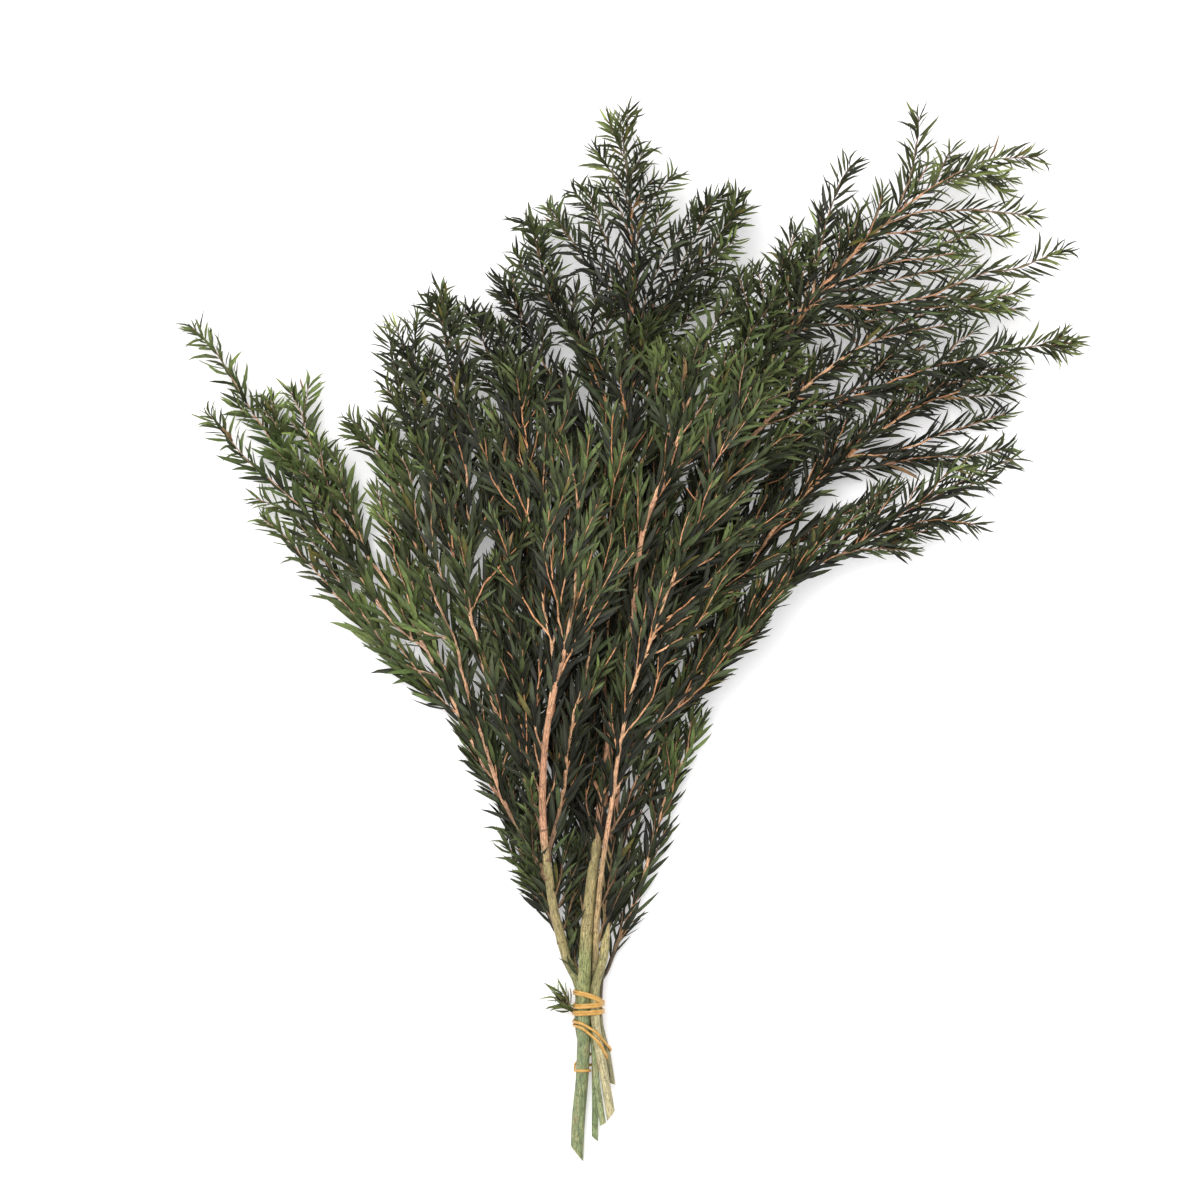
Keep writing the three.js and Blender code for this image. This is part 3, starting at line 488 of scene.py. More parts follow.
RIGHT_LOW_SHOOTS = [
    (9, 945, 387, 960, 362, 976, 343),
    (4, 850, 458, 890, 452, 940, 435, 1022, 408),
    (1.5, 828, 474, 870, 466, 915, 461, 962, 460),
    (24, 800, 500, 828, 460, 842, 430, 856, 400),
    (8, 745, 585, 780, 550, 830, 520, 870, 500, 902, 477),
    (10, 680, 705, 702, 684, 727, 657, 752, 630),
    (24, 715, 650, 712, 610, 722, 575, 735, 545),
    (8, 635, 805, 655, 790, 675, 745, 700, 722),
    (16, 745, 575, 750, 540, 760, 510, 775, 480),
    (26, 818, 487, 824, 460, 827, 435, 835, 412),
    (25, 828, 478, 845, 450, 858, 435, 872, 418),
    (10, 915, 408, 945, 397, 985, 395, 1027, 385),
    (15, 930, 392, 955, 375, 990, 370, 1030, 362),
    (14, 612, 930, 619, 900, 624, 870, 632, 840, 640, 815, 650, 790),
    (22, 850, 455, 872, 425, 890, 405, 900, 385),
    (16, 880, 430, 900, 405, 915, 385, 925, 365),
    (18, 760, 550, 780, 530, 800, 515, 812, 500),
    (5, 870, 464, 920, 458, 960, 455, 1000, 450, 1024, 445),
    (7, 606, 945, 614, 915, 622, 885, 636, 850),
    (12, 640, 795, 650, 755, 668, 720, 680, 690),
    (14, 870, 440, 890, 425, 915, 400, 935, 378, 950, 360),
    (16, 905, 415, 930, 400, 955, 392, 975, 378, 1000, 372),
    (12, 690, 690, 698, 650, 702, 610, 706, 565, 712, 525),
    (14, 762, 548, 774, 520, 784, 498, 796, 472),
]
RIGHT_EDGE_SHOOTS = [
    (9, 616, 948, 632, 925, 645, 908),
    (6, 640, 890, 651, 862, 662, 838, 676, 812),
    (14, 650, 860, 655, 820, 652, 790, 660, 765),
    (12, 660, 830, 672, 800, 676, 770, 684, 745),
]
UPPER_RIGHT_SHOOTS = [
    (54, 1.4, 644, 530, 658, 487, 672, 455, 690, 395, 712, 330, 736, 288),
    (50, 675, 448, 660, 410, 655, 375, 662, 340),
    (30, 895, 216, 908, 180, 918, 140, 918, 101),
    (36, 812, 302, 822, 235, 835, 195, 858, 152),
    (40, 785, 338, 788, 290, 790, 250, 797, 220),
    (42, 770, 360, 765, 320, 762, 290, 752, 258),
    (22, 938, 186, 975, 174, 1000, 178, 1027, 184),
    (28, 884, 225, 925, 211, 985, 212, 1047, 217),
    (20, 872, 236, 925, 230, 1022, 238),
    (32, 820, 292, 865, 272, 915, 260, 980, 249),
    (30, 806, 308, 860, 306, 930, 297, 975, 275, 1020, 268, 1077, 244),
    (24, 930, 297, 980, 299, 1035, 291),
    (50, 718, 430, 745, 395, 760, 385, 785, 372),
    (36, 632, 640, 650, 600, 655, 565, 650, 545),
    (26, 620, 765, 640, 735, 652, 715, 680, 690),
    (44, 850, 258, 872, 225, 880, 200, 884, 180),
    (50, 700, 450, 716, 400, 735, 360, 752, 332, 768, 308, 785, 285),
    (46, 712, 430, 730, 390, 755, 350, 775, 325, 790, 300),
    (44, 720, 420, 745, 380, 775, 345, 800, 325, 822, 306),
    (52, 668, 480, 678, 440, 682, 400, 685, 365, 695, 340),
    (44, 740, 400, 765, 380, 790, 360, 812, 345),
    (52, 700, 450, 722, 432, 745, 412, 770, 400, 792, 392),
    (40, 770, 360, 775, 320, 775, 285, 782, 262, 786, 242),
    (42, 750, 335, 745, 300, 738, 275, 733, 262),
    (36, 800, 315, 810, 280, 815, 250, 820, 215, 815, 198),
    (36, 850, 258, 855, 235, 858, 215, 862, 195),
    (30, 932, 188, 942, 170, 950, 155, 953, 136),
    (20, 975, 174, 995, 185, 1017, 200),
    (26, 860, 268, 900, 255, 940, 243, 985, 232),
    (26, 828, 313, 860, 309, 905, 311, 960, 306, 1015, 313),
    (36, 800, 315, 820, 300, 840, 285, 862, 262),
    (28, 785, 345, 815, 327, 850, 325, 880, 318, 905, 312),
    (40, 636, 580, 648, 550, 655, 520, 668, 500),
    (42, 690, 395, 702, 360, 720, 335, 745, 310),
    (40, 785, 330, 800, 290, 806, 262, 802, 245),
    (34, 835, 275, 838, 250, 840, 228, 848, 210),
    (38, 700, 450, 690, 420, 680, 385, 672, 355, 678, 330),
    (30, 905, 210, 915, 185, 928, 165, 932, 148),
    (50, BARE_RADIUS, 735, 362, 731, 345, 728, 332),
    (40, 815, 300, 835, 265, 848, 235, 842, 205),
    (46, 760, 375, 748, 350, 742, 322, 750, 300),
    (38, 800, 318, 792, 285, 785, 262, 772, 250),
    (26, 838, 297, 870, 287, 906, 277, 946, 268, 986, 262),
    (40, 729, 332, 737, 303, 749, 281, 762, 262),
]

# Each stem: its radius at the cut end, how steeply it is cut, where it runs through the tie (mm from the
# tie's middle, and height), the row where its leaves start, its colours at the cut and at the tie, and its
# plan and height below and above the tie.
STEMS = {
    "stem_centre": dict(
        radius=3.7, slant=-1.15, tie=(-3.4, 13.4), leafy_from=760,
        cut_colour=(134, 148, 104), tie_colour=(150, 156, 100),
        below=[(577, 1156, 2.95), (578.5, 1122, 3.6), (582, 1080, 7.4)],
        above=[
            (586, 940, 14), (594, 865, 17), (603, 800, 20), (611, 735, 24), (622, 670, 27), (648, 590, 30),
            (690, 520, 32), (735, 455, 33), (800, 392, 33), (865, 345, 31), (905, 333, 29), (975, 320, 26)],
        shoots=CENTRE_SHOOTS),
    "stem_left": dict(
        radius=3.1, slant=0.3, tie=(-5.8, 6.4), leafy_from=700,
        cut_colour=(124, 134, 92), tie_colour=(150, 154, 104),
        below=[(582, 1040, 5)],
        above=[
            (567, 960, 9), (560, 935, 12), (553, 905, 18), (548, 870, 26), (543, 820, 34), (543, 780, 40),
            (547, 730, 46), (556, 685, 50), (568, 635, 54), (577, 560, 57), (576, 490, 58), (562, 430, 57)],
        shoots=LEFT_SHOOTS),
    "stem_spire": dict(
        radius=1.8, slant=-0.85, tie=(0.4, 4.7), leafy_from=830,
        cut_colour=(134, 150, 104), tie_colour=(88, 80, 58),
        below=[(595, 1141, 4.2), (595, 1090, 4.2), (594, 1050, 4.2)],
        above=[
            (591, 960, 5.5), (594, 900, 8), (600, 800, 12.5), (606, 740, 17), (604, 690, 23), (607, 650, 27),
            (609, 610, 30), (609, 535, 34), (621, 470, 36), (632, 390, 36), (632, 320, 34), (633, 250, 31),
            (629, 190, 28), (618, 102, 25)],
        shoots=SPIRE_SHOOTS),
    "stem_front": dict(
        radius=1.8, slant=0.35, tie=(0.9, 9.2), leafy_from=800,
        cut_colour=(160, 172, 124), tie_colour=(108, 102, 70),
        below=[(603, 1126, 8.6), (597, 1085, 8.5), (594, 1052, 8.4)],
        above=[
            (595, 965, 12.5), (597, 920, 18), (603, 860, 27), (612, 800, 35), (620, 745, 41), (635, 680, 47),
            (655, 630, 51), (670, 585, 53), (695, 535, 53), (720, 500, 51)],
        shoots=FRONT_SHOOTS),
    "stem_right_low": dict(
        radius=1.9, slant=-0.5, tie=(5.6, 9.6), leafy_from=900,
        cut_colour=(160, 156, 118), tie_colour=(92, 80, 58),
        below=[(612, 1085, 8.4), (607, 1055, 8.8)],
        above=[
            (603, 960, 9.6), (608, 920, 10), (618, 862, 11), (635, 805, 12), (655, 757, 13), (680, 705, 15),
            (715, 650, 17), (745, 575, 20), (790, 510, 20), (850, 455, 18), (910, 410, 17), (945, 385, 16),
            (1026, 371, 13)],
        shoots=RIGHT_LOW_SHOOTS),
    "stem_right_edge": dict(
        radius=1.2, slant=0.3, tie=(4.4, 5.6), leafy_from=965,
        cut_colour=(112, 112, 80), tie_colour=(88, 74, 56),
        below=[(603, 1037, 5.2)],
        above=[
            (607, 972, 5), (616, 948, 6), (630, 915, 7), (640, 890, 7.5), (656, 832, 8), (669, 790, 9),
            (690, 750, 10), (710, 703, 11)],
        shoots=RIGHT_EDGE_SHOOTS),
    "stem_upper_right": dict(
        radius=2.6, slant=0.95, tie=(3.2, 14.8), leafy_from=800,
        cut_colour=(178, 170, 130), tie_colour=(136, 132, 88),
        below=[(611, 1117, 12.5), (604, 1075, 13.5)],
        above=[
            (604, 955, 13), (606, 900, 14.5), (610, 850, 18), (617, 790, 23), (626, 720, 30), (632, 640, 37),
            (636, 580, 42), (646, 520, 46), (668, 480, 48), (700, 450, 49), (735, 410, 48), (770, 360, 46),
            (800, 315, 43), (850, 258, 39), (890, 220, 35), (932, 188, 32), (985, 162, 28), (1054, 155, 24)],
        shoots=UPPER_RIGHT_SHOOTS),
}

# The band's route: the angle round the bunch (0 right, 90 top, 180 left) and the place along it
BAND_TURNS = [
    (-180, 1066), (0, 1052), (180, 1023), (360, 1011), (540, 1013), (720, 1003.5), (900, 1006),
    (1080, 1003), (1260, 992.5), (1350, 994),
]
SECOND_STRAND_TURNS = [
    (-120, 1068), (0, 1058), (180, 1027), (360, 1013.3), (540, 1015.3), (720, 1005.8), (900, 1008.3),
    (1080, 1005.2), (1260, 994.8), (1350, 996.5),
]

# Regions of the plan, each a row of x, y, reach and share. The share fades outwards from the pixel.

# Where the leaves are greener than the charcoal green of the bunch's middle
GREEN_PLACES = [
    (250, 470, 130, 1), (380, 485, 46, 1), (388, 640, 88, 0.95), (715, 390, 72, 0.55), (940, 250, 150, 0.36),
    (640, 520, 105, 0.2), (840, 560, 50, 0.2), (660, 850, 50, 0.3), (570, 480, 40, 0.12),
    (462, 765, 42, 0.65), (515, 870, 45, 0.45), (695, 760, 60, 0.5), (552, 995, 28, 0.5),
    (620, 130, 50, 0.3), (725, 215, 40, 0.35), (545, 220, 35, 0.3),
]
# Where shoots carry few side twigs
CALM_PLACES = [
    (200, 370, 75, 1.2), (245, 505, 45, 0.8), (365, 590, 80, 1.6), (430, 690, 60, 1.2), (900, 485, 80, 1.5),
    (930, 320, 190, 1.15), (275, 540, 45, 1.6), (1065, 340, 40, 1.5), (385, 370, 45, 0.9),
    (650, 850, 60, 1.2), (560, 1000, 40, 1.5), (620, 220, 160, 0.8), (440, 300, 70, 0.5),
    (572, 360, 30, 1.5), (535, 265, 45, 0.7), (345, 480, 35, 1.5),
]
# Where the leaves are very narrow
FINE_PLACES = [
    (960, 250, 190, 1), (940, 440, 130, 0.9), (620, 200, 130, 0.75), (440, 330, 60, 0.5),
    (625, 930, 40, 0.9), (395, 335, 40, 1), (560, 1000, 30, 1), (200, 345, 60, 0.7), (215, 415, 45, 0.7),
    (255, 510, 45, 0.7), (300, 385, 40, 0.5), (520, 850, 50, 0.6),
]
# Where leaves are long and lie close although they are out in the air
LONG_LEAF_PLACES = [
    (350, 515, 85, 0.6), (400, 630, 100, 1), (895, 470, 110, 0.65), (925, 270, 125, 0.5),
]
# Where leaves sit far apart
SPARSE_PLACES = [
    (650, 860, 75, 0.8), (552, 1000, 30, 1.5),
]
# Where leaves stand away from the twig although other wood is near
OPEN_PLACES = [
    (552, 998, 30, 1.3), (512, 862, 42, 0.8),
]
# What lies under the rest of the bunch, where painted shade makes leaves and wood darkest
COVERED_PLACES = [
    (590, 640, 90, 1.2), (620, 540, 110, 1.2), (560, 745, 45, 1.2), (590, 830, 32, 1), (540, 570, 80, 1),
    (720, 500, 70, 0.9), (660, 480, 60, 0.8), (508, 540, 50, 0.8),
]
# Where the green turns to slate
SLATE_PLACES = [
    (430, 390, 75, 1), (455, 470, 55, 0.7), (530, 330, 110, 0.8), (620, 400, 60, 0.5), (620, 240, 90, 0.45),
    (500, 640, 70, 0.6), (462, 560, 60, 0.8),
]
# Where leaves are pale and yellow
PALE_PLACES = [
    (1020, 220, 70, 0.5), (1060, 340, 45, 0.35), (960, 140, 60, 0.5), (390, 322, 16, 1), (385, 405, 22, 0.5),
    (612, 180, 12, 0.8), (620, 120, 40, 0.2), (225, 360, 50, 0.12), (385, 610, 110, 0.18),
    (925, 115, 30, 0.6), (1085, 340, 30, 0.4), (548, 998, 25, 0.35),
]


def srgb(red, green, blue):
    """A display colour, 0 to 255, as the linear numbers that a material takes."""
    display = np.array([red, green, blue]) / 255
    return np.where(display <= 0.04045, display / 12.92, ((display + 0.055) / 1.055) ** 2.4)


SLATE_GREEN = srgb(38, 38, 37)
CHARCOAL_GREEN = srgb(34, 38, 22)
MID_GREEN = srgb(62, 78, 40)
PALE_GREEN = srgb(126, 134, 74)
OLIVE_YELLOW = srgb(92, 86, 40)
DRY_TAN = srgb(124, 96, 62)

PALE_BARK = srgb(174, 160, 110)
COPPER_BARK = srgb(215, 159, 123)
YOUNG_COPPER = srgb(255, 200, 152)
THIN_COPPER = srgb(226, 156, 106)
PALE_TWIG = srgb(214, 178, 156)
DARK_TWIG = srgb(104, 82, 54)
SHADED_TWIG = srgb(84, 62, 46)

RIB_GREEN = srgb(120, 122, 86)
EDGE_TAN = srgb(120, 108, 74)
TIP_BROWN = srgb(104, 80, 52)
BARK_TAN = srgb(178, 142, 106)
CRACK_BROWN = srgb(84, 58, 38)
PIT_BROWN = srgb(56, 50, 30)
SCAR_BROWN = srgb(60, 48, 32)
CUT_WOOD = srgb(196, 178, 128)
DYED_WOOD = srgb(148, 146, 92)
PITH_BROWN = srgb(112, 88, 52)
DEEP_RUBBER = srgb(186, 138, 58)
LIGHT_RUBBER = srgb(208, 164, 88)


# Smooth numbers

def unit(vectors):
    """The vectors, each made 1 long."""
    lengths = np.linalg.norm(vectors, axis=-1, keepdims=True)
    return vectors / np.maximum(lengths, 1e-9)


def mix(a, b, share):
    """From a at share 0 to b at share 1."""
    return a + (b - a) * share


def smooth(value, start, end):
    """0 up to start, 1 from end on, and an even rise between."""
    share = np.clip((value - start) / (end - start), 0, 1)
    return share * share * (3 - 2 * share)


def place(x, y, height=0.0):
    """A point over a pixel of the plan, in millimetres."""
    return np.array([(x - ORIGIN_PIXEL[0]) * PIXEL, (ORIGIN_PIXEL[1] - y) * PIXEL, height])


def pixel_of(points):
    """The pixel of the plan under each point."""
    return np.stack([points[:, 0] / PIXEL + ORIGIN_PIXEL[0], ORIGIN_PIXEL[1] - points[:, 1] / PIXEL], axis=1)


# Routes

def smooth_curve(rows, step):
    """Points step mm apart on the smooth curve through the rows, a centripetal spline."""
    rows = np.asarray(rows, float)
    padded = np.vstack([2 * rows[0] - rows[1], rows, 2 * rows[-1] - rows[-2]])
    shares = np.linspace(0, 1, POINTS_PER_SPAN + 1)[:-1, None]
    spans = []
    for before, start, end, after in zip(padded, padded[1:], padded[2:], padded[3:]):
        knot_before = math.sqrt(np.linalg.norm(start - before))
        knot = math.sqrt(np.linalg.norm(end - start))
        knot_after = math.sqrt(np.linalg.norm(after - end))
        leave = (start - before) / knot_before - (end - before) / (knot_before + knot) + (end - start) / knot
        arrive = (end - start) / knot - (after - start) / (knot + knot_after) + (after - end) / knot_after
        leave, arrive = leave * knot, arrive * knot
        a = 2 * start - 2 * end + leave + arrive
        b = -3 * start + 3 * end - 2 * leave - arrive
        spans.append(((a * shares + b) * shares + leave) * shares + start)
    dense = np.vstack([*spans, rows[-1:]])
    return even_points(dense, step)


def even_points(points, step):
    """Points at even distances, near step mm, along the line through the given ones."""
    travelled = np.concatenate([[0], np.cumsum(np.linalg.norm(np.diff(points, axis=0), axis=1))])
    count = max(4, round(travelled[-1] / step))
    wanted = np.linspace(0, travelled[-1], count + 1)
    return np.stack([np.interp(wanted, travelled, points[:, k]) for k in range(3)], axis=1)


def pulled_back(rows):
    """The rows with their end moved back, so that the last leaf reaches the traced end."""
    rows = [np.asarray(row, float) for row in rows]
    rows[-1] = rows[-1] + unit(rows[-2] - rows[-1]) * TIP_PULL_BACK
    return rows


class Line:
    """The middle of a trunk or shoot: its points, its radius at each and how far each is along it."""

    def __init__(self, points, radii, leafy_from=0.0):
        self.points = points
        self.radii = radii
        steps = np.linalg.norm(np.diff(points, axis=0), axis=1)
        self.travelled = np.concatenate([[0], np.cumsum(steps)])
        self.length = self.travelled[-1]
        self.directions = unit(np.gradient(points, axis=0))
        self.leafy_from = leafy_from
        self.cut_colour = PALE_BARK
        self.tie_colour = DARK_TWIG
        self.is_trunk = False

    def at(self, travelled, values):
        return np.stack([np.interp(travelled, self.travelled, values[:, k]) for k in range(3)], axis=1)

    def radius_at(self, travelled):
        return np.interp(travelled, self.travelled, self.radii)


def trunk_line(stem):
    """A stem's trunk, from its cut end through the tie to its tip."""
    tie_x = TIE_X + stem["tie"][0] / PIXEL
    tie = [(tie_x, TIE_LOW_Y, stem["tie"][1]), (tie_x, TIE_HIGH_Y, stem["tie"][1])]
    rows = [place(*row) for row in [*stem["below"], *tie, *stem["above"]]]
    points = smooth_curve(pulled_back(rows), TRUNK_STEP)
    taper_start = np.argmax(points[:, 1] > place(0, TIE_HIGH_Y)[1])
    along = np.clip((np.arange(len(points)) - taper_start) / (len(points) - 1 - taper_start), 0, 1)
    radii = TRUNK_TIP_RADIUS + (stem["radius"] - TRUNK_TIP_RADIUS) * (1 - along) ** TRUNK_TAPER
    thinned = mix(radii, TIP_RADIUS, smooth(along, THINNING_FROM, 1))
    line = Line(points, np.where(along > THINNING_FROM, thinned, radii))
    line.is_trunk = True
    line.slant = stem["slant"]
    line.cut_colour = srgb(*stem["cut_colour"])
    line.tie_colour = srgb(*stem["tie_colour"])
    leafy = points[:, 1] > place(0, stem["leafy_from"])[1]
    line.leafy_from = line.travelled[np.argmax(leafy)]
    return line


def nearest_foot(earlier, start):
    """The nearest place on the earlier lines, seen from above, and the wood's radius there."""
    best = None
    for line in earlier:
        distances = np.hypot(*(line.points[:, :2] - start[:2]).T)
        index = int(np.argmin(distances))
        if best is None or distances[index] < best[0]:
            best = (distances[index], line.points[index], line.radii[index])
    return best[1], best[2]


def wiggled(points, amount, rng):
    """The points moved sideways a little, as a twig wavers, with both ends held."""
    share = np.linspace(0, 1, len(points))
    length = np.linalg.norm(points[-1] - points[0])
    sway = np.zeros(len(points))
    rise = np.zeros(len(points))
    for wave_length in WAVE_LENGTHS:
        turns = length / wave_length
        size = amount * math.sqrt(wave_length / USUAL_WAVE)
        sway += size * np.sin(2 * math.pi * (turns * share + rng.random()))
        rise += WIGGLE_RISE * size * np.sin(2 * math.pi * (turns * share + rng.random()))
    window = np.sin(math.pi * share) ** 0.5
    direction = unit(np.gradient(points, axis=0))
    side = unit(np.cross(direction, [0, 0, 1]))
    return points + side * (sway * window)[:, None] + np.array([0, 0, 1]) * (rise * window)[:, None]


def shoot_line(row, earlier, rng):
    """A shoot from its row of the tables, springing from the nearest wood that is there already."""
    tip_height, *rest = row
    radius = rest.pop(0) if len(rest) % 2 else SHOOT_RADIUS
    plan = list(zip(rest[::2], rest[1::2]))
    foot, foot_radius = nearest_foot(earlier, place(*plan[0]))
    last = len(plan) - 1
    rows = [foot]
    for i, (x, y) in enumerate(plan[1:]):
        along = smooth((i + 1) / last, RISE_START, 1)
        rows.append(place(x, y, mix(foot[2], tip_height, along)))
    points = wiggled(smooth_curve(pulled_back(rows), SHOOT_STEP), WIGGLE, rng)
    root = min(radius, foot_radius * ROOT_SHARE)
    along = np.linspace(0, 1, len(points))
    radii = mix(root, TIP_RADIUS, along ** SHOOT_TAPER)
    leafy_from = math.inf if radius == BARE_RADIUS else LEAFLESS_ROOT
    return Line(points, radii, leafy_from)


# Meshes

def crossing_frame(directions):
    """Two directions across each given one: one as near to straight up as it can be, one level."""
    side = unit(np.cross(directions, [0, 0, 1]))
    return unit(np.cross(side, directions)), side


def settled(points):
    """The points with whatever would sink into the surface or stand far out pressed flat."""
    height = points[..., 2]
    low = GROUND_SOFTNESS * np.exp((height - GROUND_SOFTNESS) / GROUND_SOFTNESS)
    high = PRESSED_FROM + PRESSED_REACH * (1 - np.exp((PRESSED_FROM - height) / PRESSED_REACH))
    result = points.copy()
    result[..., 2] = np.where(height < GROUND_SOFTNESS, low, np.where(height > PRESSED_FROM, high, height))
    return result


class MeshParts:
    """Vertices, faces and per-point attributes, gathered before one mesh is made of them."""

    def __init__(self):
        self.points = []
        self.faces = []
        self.slots = []
        self.attributes = {}
        self.count = 0

    def add(self, points, faces, slot=0, **attributes):
        """faces is an array of 3 or 4 point numbers a row."""
        self.points.append(points)
        self.faces.append((faces + self.count, slot))
        for name, values in attributes.items():
            self.attributes.setdefault(name, []).append(np.broadcast_to(values, (len(points), 3)))
        self.count += len(points)

    def make(self, name, materials, crease):
        """One piece of the scene from all that was added."""
        points = np.vstack(self.points) * MM
        loops = np.concatenate([faces.ravel() for faces, _ in self.faces])
        sizes = np.concatenate([np.full(len(faces), faces.shape[1]) for faces, _ in self.faces])
        slots = np.concatenate([np.full(len(faces), slot) for faces, slot in self.faces])
        mesh = bpy.data.meshes.new(name)
        mesh.vertices.add(len(points))
        mesh.vertices.foreach_set("co", points.astype(np.float32).ravel())
        mesh.loops.add(len(loops))
        mesh.loops.foreach_set("vertex_index", loops.astype(np.int32))
        mesh.polygons.add(len(sizes))
        starts = np.concatenate([[0], np.cumsum(sizes)[:-1]])
        mesh.polygons.foreach_set("loop_start", starts.astype(np.int32))
        mesh.polygons.foreach_set("material_index", slots.astype(np.int32))
        mesh.update(calc_edges=True)
        mesh.polygons.foreach_set("use_smooth", np.ones(len(sizes), bool))
        mesh.set_sharp_from_angle(angle=math.radians(crease))
        for attribute, values in self.attributes.items():
            layer = mesh.attributes.new(attribute, "FLOAT_VECTOR", "POINT")
            layer.data.foreach_set("vector", np.vstack(values).astype(np.float32).ravel())
        for material in materials:
            mesh.materials.append(material)
        piece = bpy.data.objects.new(name, mesh)
        bpy.context.collection.objects.link(piece)
        return piece


def tube_faces(rings, sides):
    """The faces between rings of points that follow each other."""
    ring, k = np.meshgrid(np.arange(rings - 1), np.arange(sides), indexing="ij")
    a = ring * sides + k
    b = ring * sides + (k + 1) % sides
    return np.stack([a, b, b + sides, a + sides], axis=-1).reshape(-1, 4)


def wood_colours(line, rng):
    """The bark's colour along a line: dyed green at the cut ends, pale, then copper towards the tips, with
    painted shade on low shoots and where it lies under the rest of the bunch.
    """
    pixels = pixel_of(line.points)
    y = pixels[:, 1]
    old = smooth(line.radii, *OLD_RADII)[:, None]
    airy = airiness(pixels)[:, None]
    green = np.clip(share_near(pixels, GREEN_PLACES), 0, 1)[:, None]
    thin = (1 - smooth(line.radii, *THIN_RADII))[:, None]
    thick = smooth(line.radii, *THICK_RADII)[:, None] * line.is_trunk
    bright = mix(YOUNG_COPPER, THIN_COPPER, np.clip(0.9 * thin + rng.uniform(-0.3, 0.7), 0, 1))
    young = mix(bright, DARK_TWIG, np.clip(airy * (0.1 + thin) + rng.normal(0, 0.15), 0, 1))
    copper = mix(mix(young, COPPER_BARK, old), PALE_TWIG, green * 0.7)
    start = rng.uniform(-ROW_SPREAD, ROW_SPREAD)
    hidden = 0 if line.is_trunk else 0.85 * smooth(y, *SHADE_ROWS)[:, None]
    copper = mix(copper, SHADED_TWIG, hidden)
    pale = smooth(y, PALE_ROWS[0] + start, PALE_ROWS[1] + start)[:, None]
    colours = mix(copper, PALE_BARK, pale * (0.15 + 0.85 * thick))
    colours = mix(colours, line.tie_colour, smooth(y, TIE_ROWS[0] + start, TIE_ROWS[1] + start)[:, None])
    colours = mix(colours, line.cut_colour, smooth(y, *CUT_ROWS)[:, None])
    # Painted shade where the wood lies under the rest of the bunch
    painted_shade = covered(line.points)[:, None]
    shade = COVERED_TRUNK_PAINTED_SHADE if line.is_trunk else COVERED_SHOOT_PAINTED_SHADE
    return colours * (1 - shade * painted_shade) * rng.uniform(*BARK_TONE)


def add_wood(parts, line, sides, rng):
    """A closed tube of wood along a line, with relief."""
    sides = TRUNK_SIDES if line.is_trunk else sides
    up, side = crossing_frame(line.directions)
    turn = np.arange(sides) * 2 * math.pi / sides
    rings = len(line.points)
    relief = np.ones((rings, sides))
    for _ in range(RIPPLES):
        waves, speed, phase = rng.integers(1, 6), rng.uniform(*RIPPLE_SPEED), rng.uniform(0, TURN)
        relief += RIPPLE_DEPTH * np.sin(waves * turn[None] + speed * line.travelled[:, None] + phase)
    for knot in rng.uniform(0, line.length, int(line.length / KNOT_SPACING)):
        near = np.exp(-((line.travelled - knot) / KNOT_REACH) ** 2)[:, None]
        facing = np.exp(4 * (np.cos(turn - rng.uniform(0, TURN)) - 1))[None]
        relief += rng.uniform(*KNOT_HEIGHT) * near * facing
    if not line.is_trunk:
        relief += COLLAR_HEIGHT * np.exp(-line.travelled / COLLAR_REACH)[:, None]
    radius = line.radii[:, None] * relief
    across = np.cos(turn)[None] * radius
    level = np.sin(turn)[None] * radius
    points = line.points[:, None] + up[:, None] * across[..., None] + side[:, None] * level[..., None]
    if line.is_trunk:
        slant = line.slant * np.exp(-line.travelled / SLANT_REACH)[:, None] * level
        points = points + line.directions[:, None] * slant[..., None]
    raised = np.maximum(points, [-np.inf, -np.inf, LOWEST_WOOD])
    points = np.where(points[..., 2:] > PRESSED_FROM, settled(points), raised)
    bark = np.stack([across, level, np.broadcast_to(line.travelled[:, None], across.shape)], axis=-1)
    bark = bark + [0, 0, rng.uniform(0, BARK_SEEDS)]
    colours = np.repeat(wood_colours(line, rng)[:, None], sides, axis=1)
    faces = tube_faces(rings, sides)
    parts.add(points.reshape(-1, 3), faces, bark=bark.reshape(-1, 3), tint=colours.reshape(-1, 3))
    add_cap(parts, points[0], bark[0], CUT_SLOT if line.is_trunk else BARK_SLOT, colours[0], flip=True)
    add_cap(parts, points[-1], bark[-1], BARK_SLOT, colours[-1], flip=False)


def add_cap(parts, ring, bark, slot, colour, flip):
    """Close a tube's end with inner rings and a middle, so that a cut end has its own relief."""
    sides = len(ring)
    middle = ring.mean(axis=0)
    axis = unit(np.cross(ring[1] - ring[0], ring[sides // 3] - ring[0]))
    radius = np.linalg.norm(ring - middle, axis=1).mean()
    rows, barks = [ring], [bark]
    for share, sink in CAP_RINGS:
        rows.append(middle + (ring - middle) * share + axis * sink * radius)
        barks.append(bark * [share, share, 1])
    rows.append(middle[None])
    barks.append((bark.mean(axis=0) * [0, 0, 1])[None])
    faces = tube_faces(len(rows) - 1, sides)
    last = (len(rows) - 2) * sides
    k = np.arange(sides)
    fan = np.stack([last + k, last + (k + 1) % sides, np.full(sides, last + sides)], axis=1)
    if flip:
        faces, fan = faces[:, ::-1], fan[:, ::-1]
    points = np.vstack(rows)
    tint = np.broadcast_to(colour.mean(axis=0) if colour.ndim > 1 else colour, points.shape)
    start = parts.count
    parts.add(points, faces, slot, bark=np.vstack(barks), tint=tint)
    parts.faces.append((fan + start, slot))


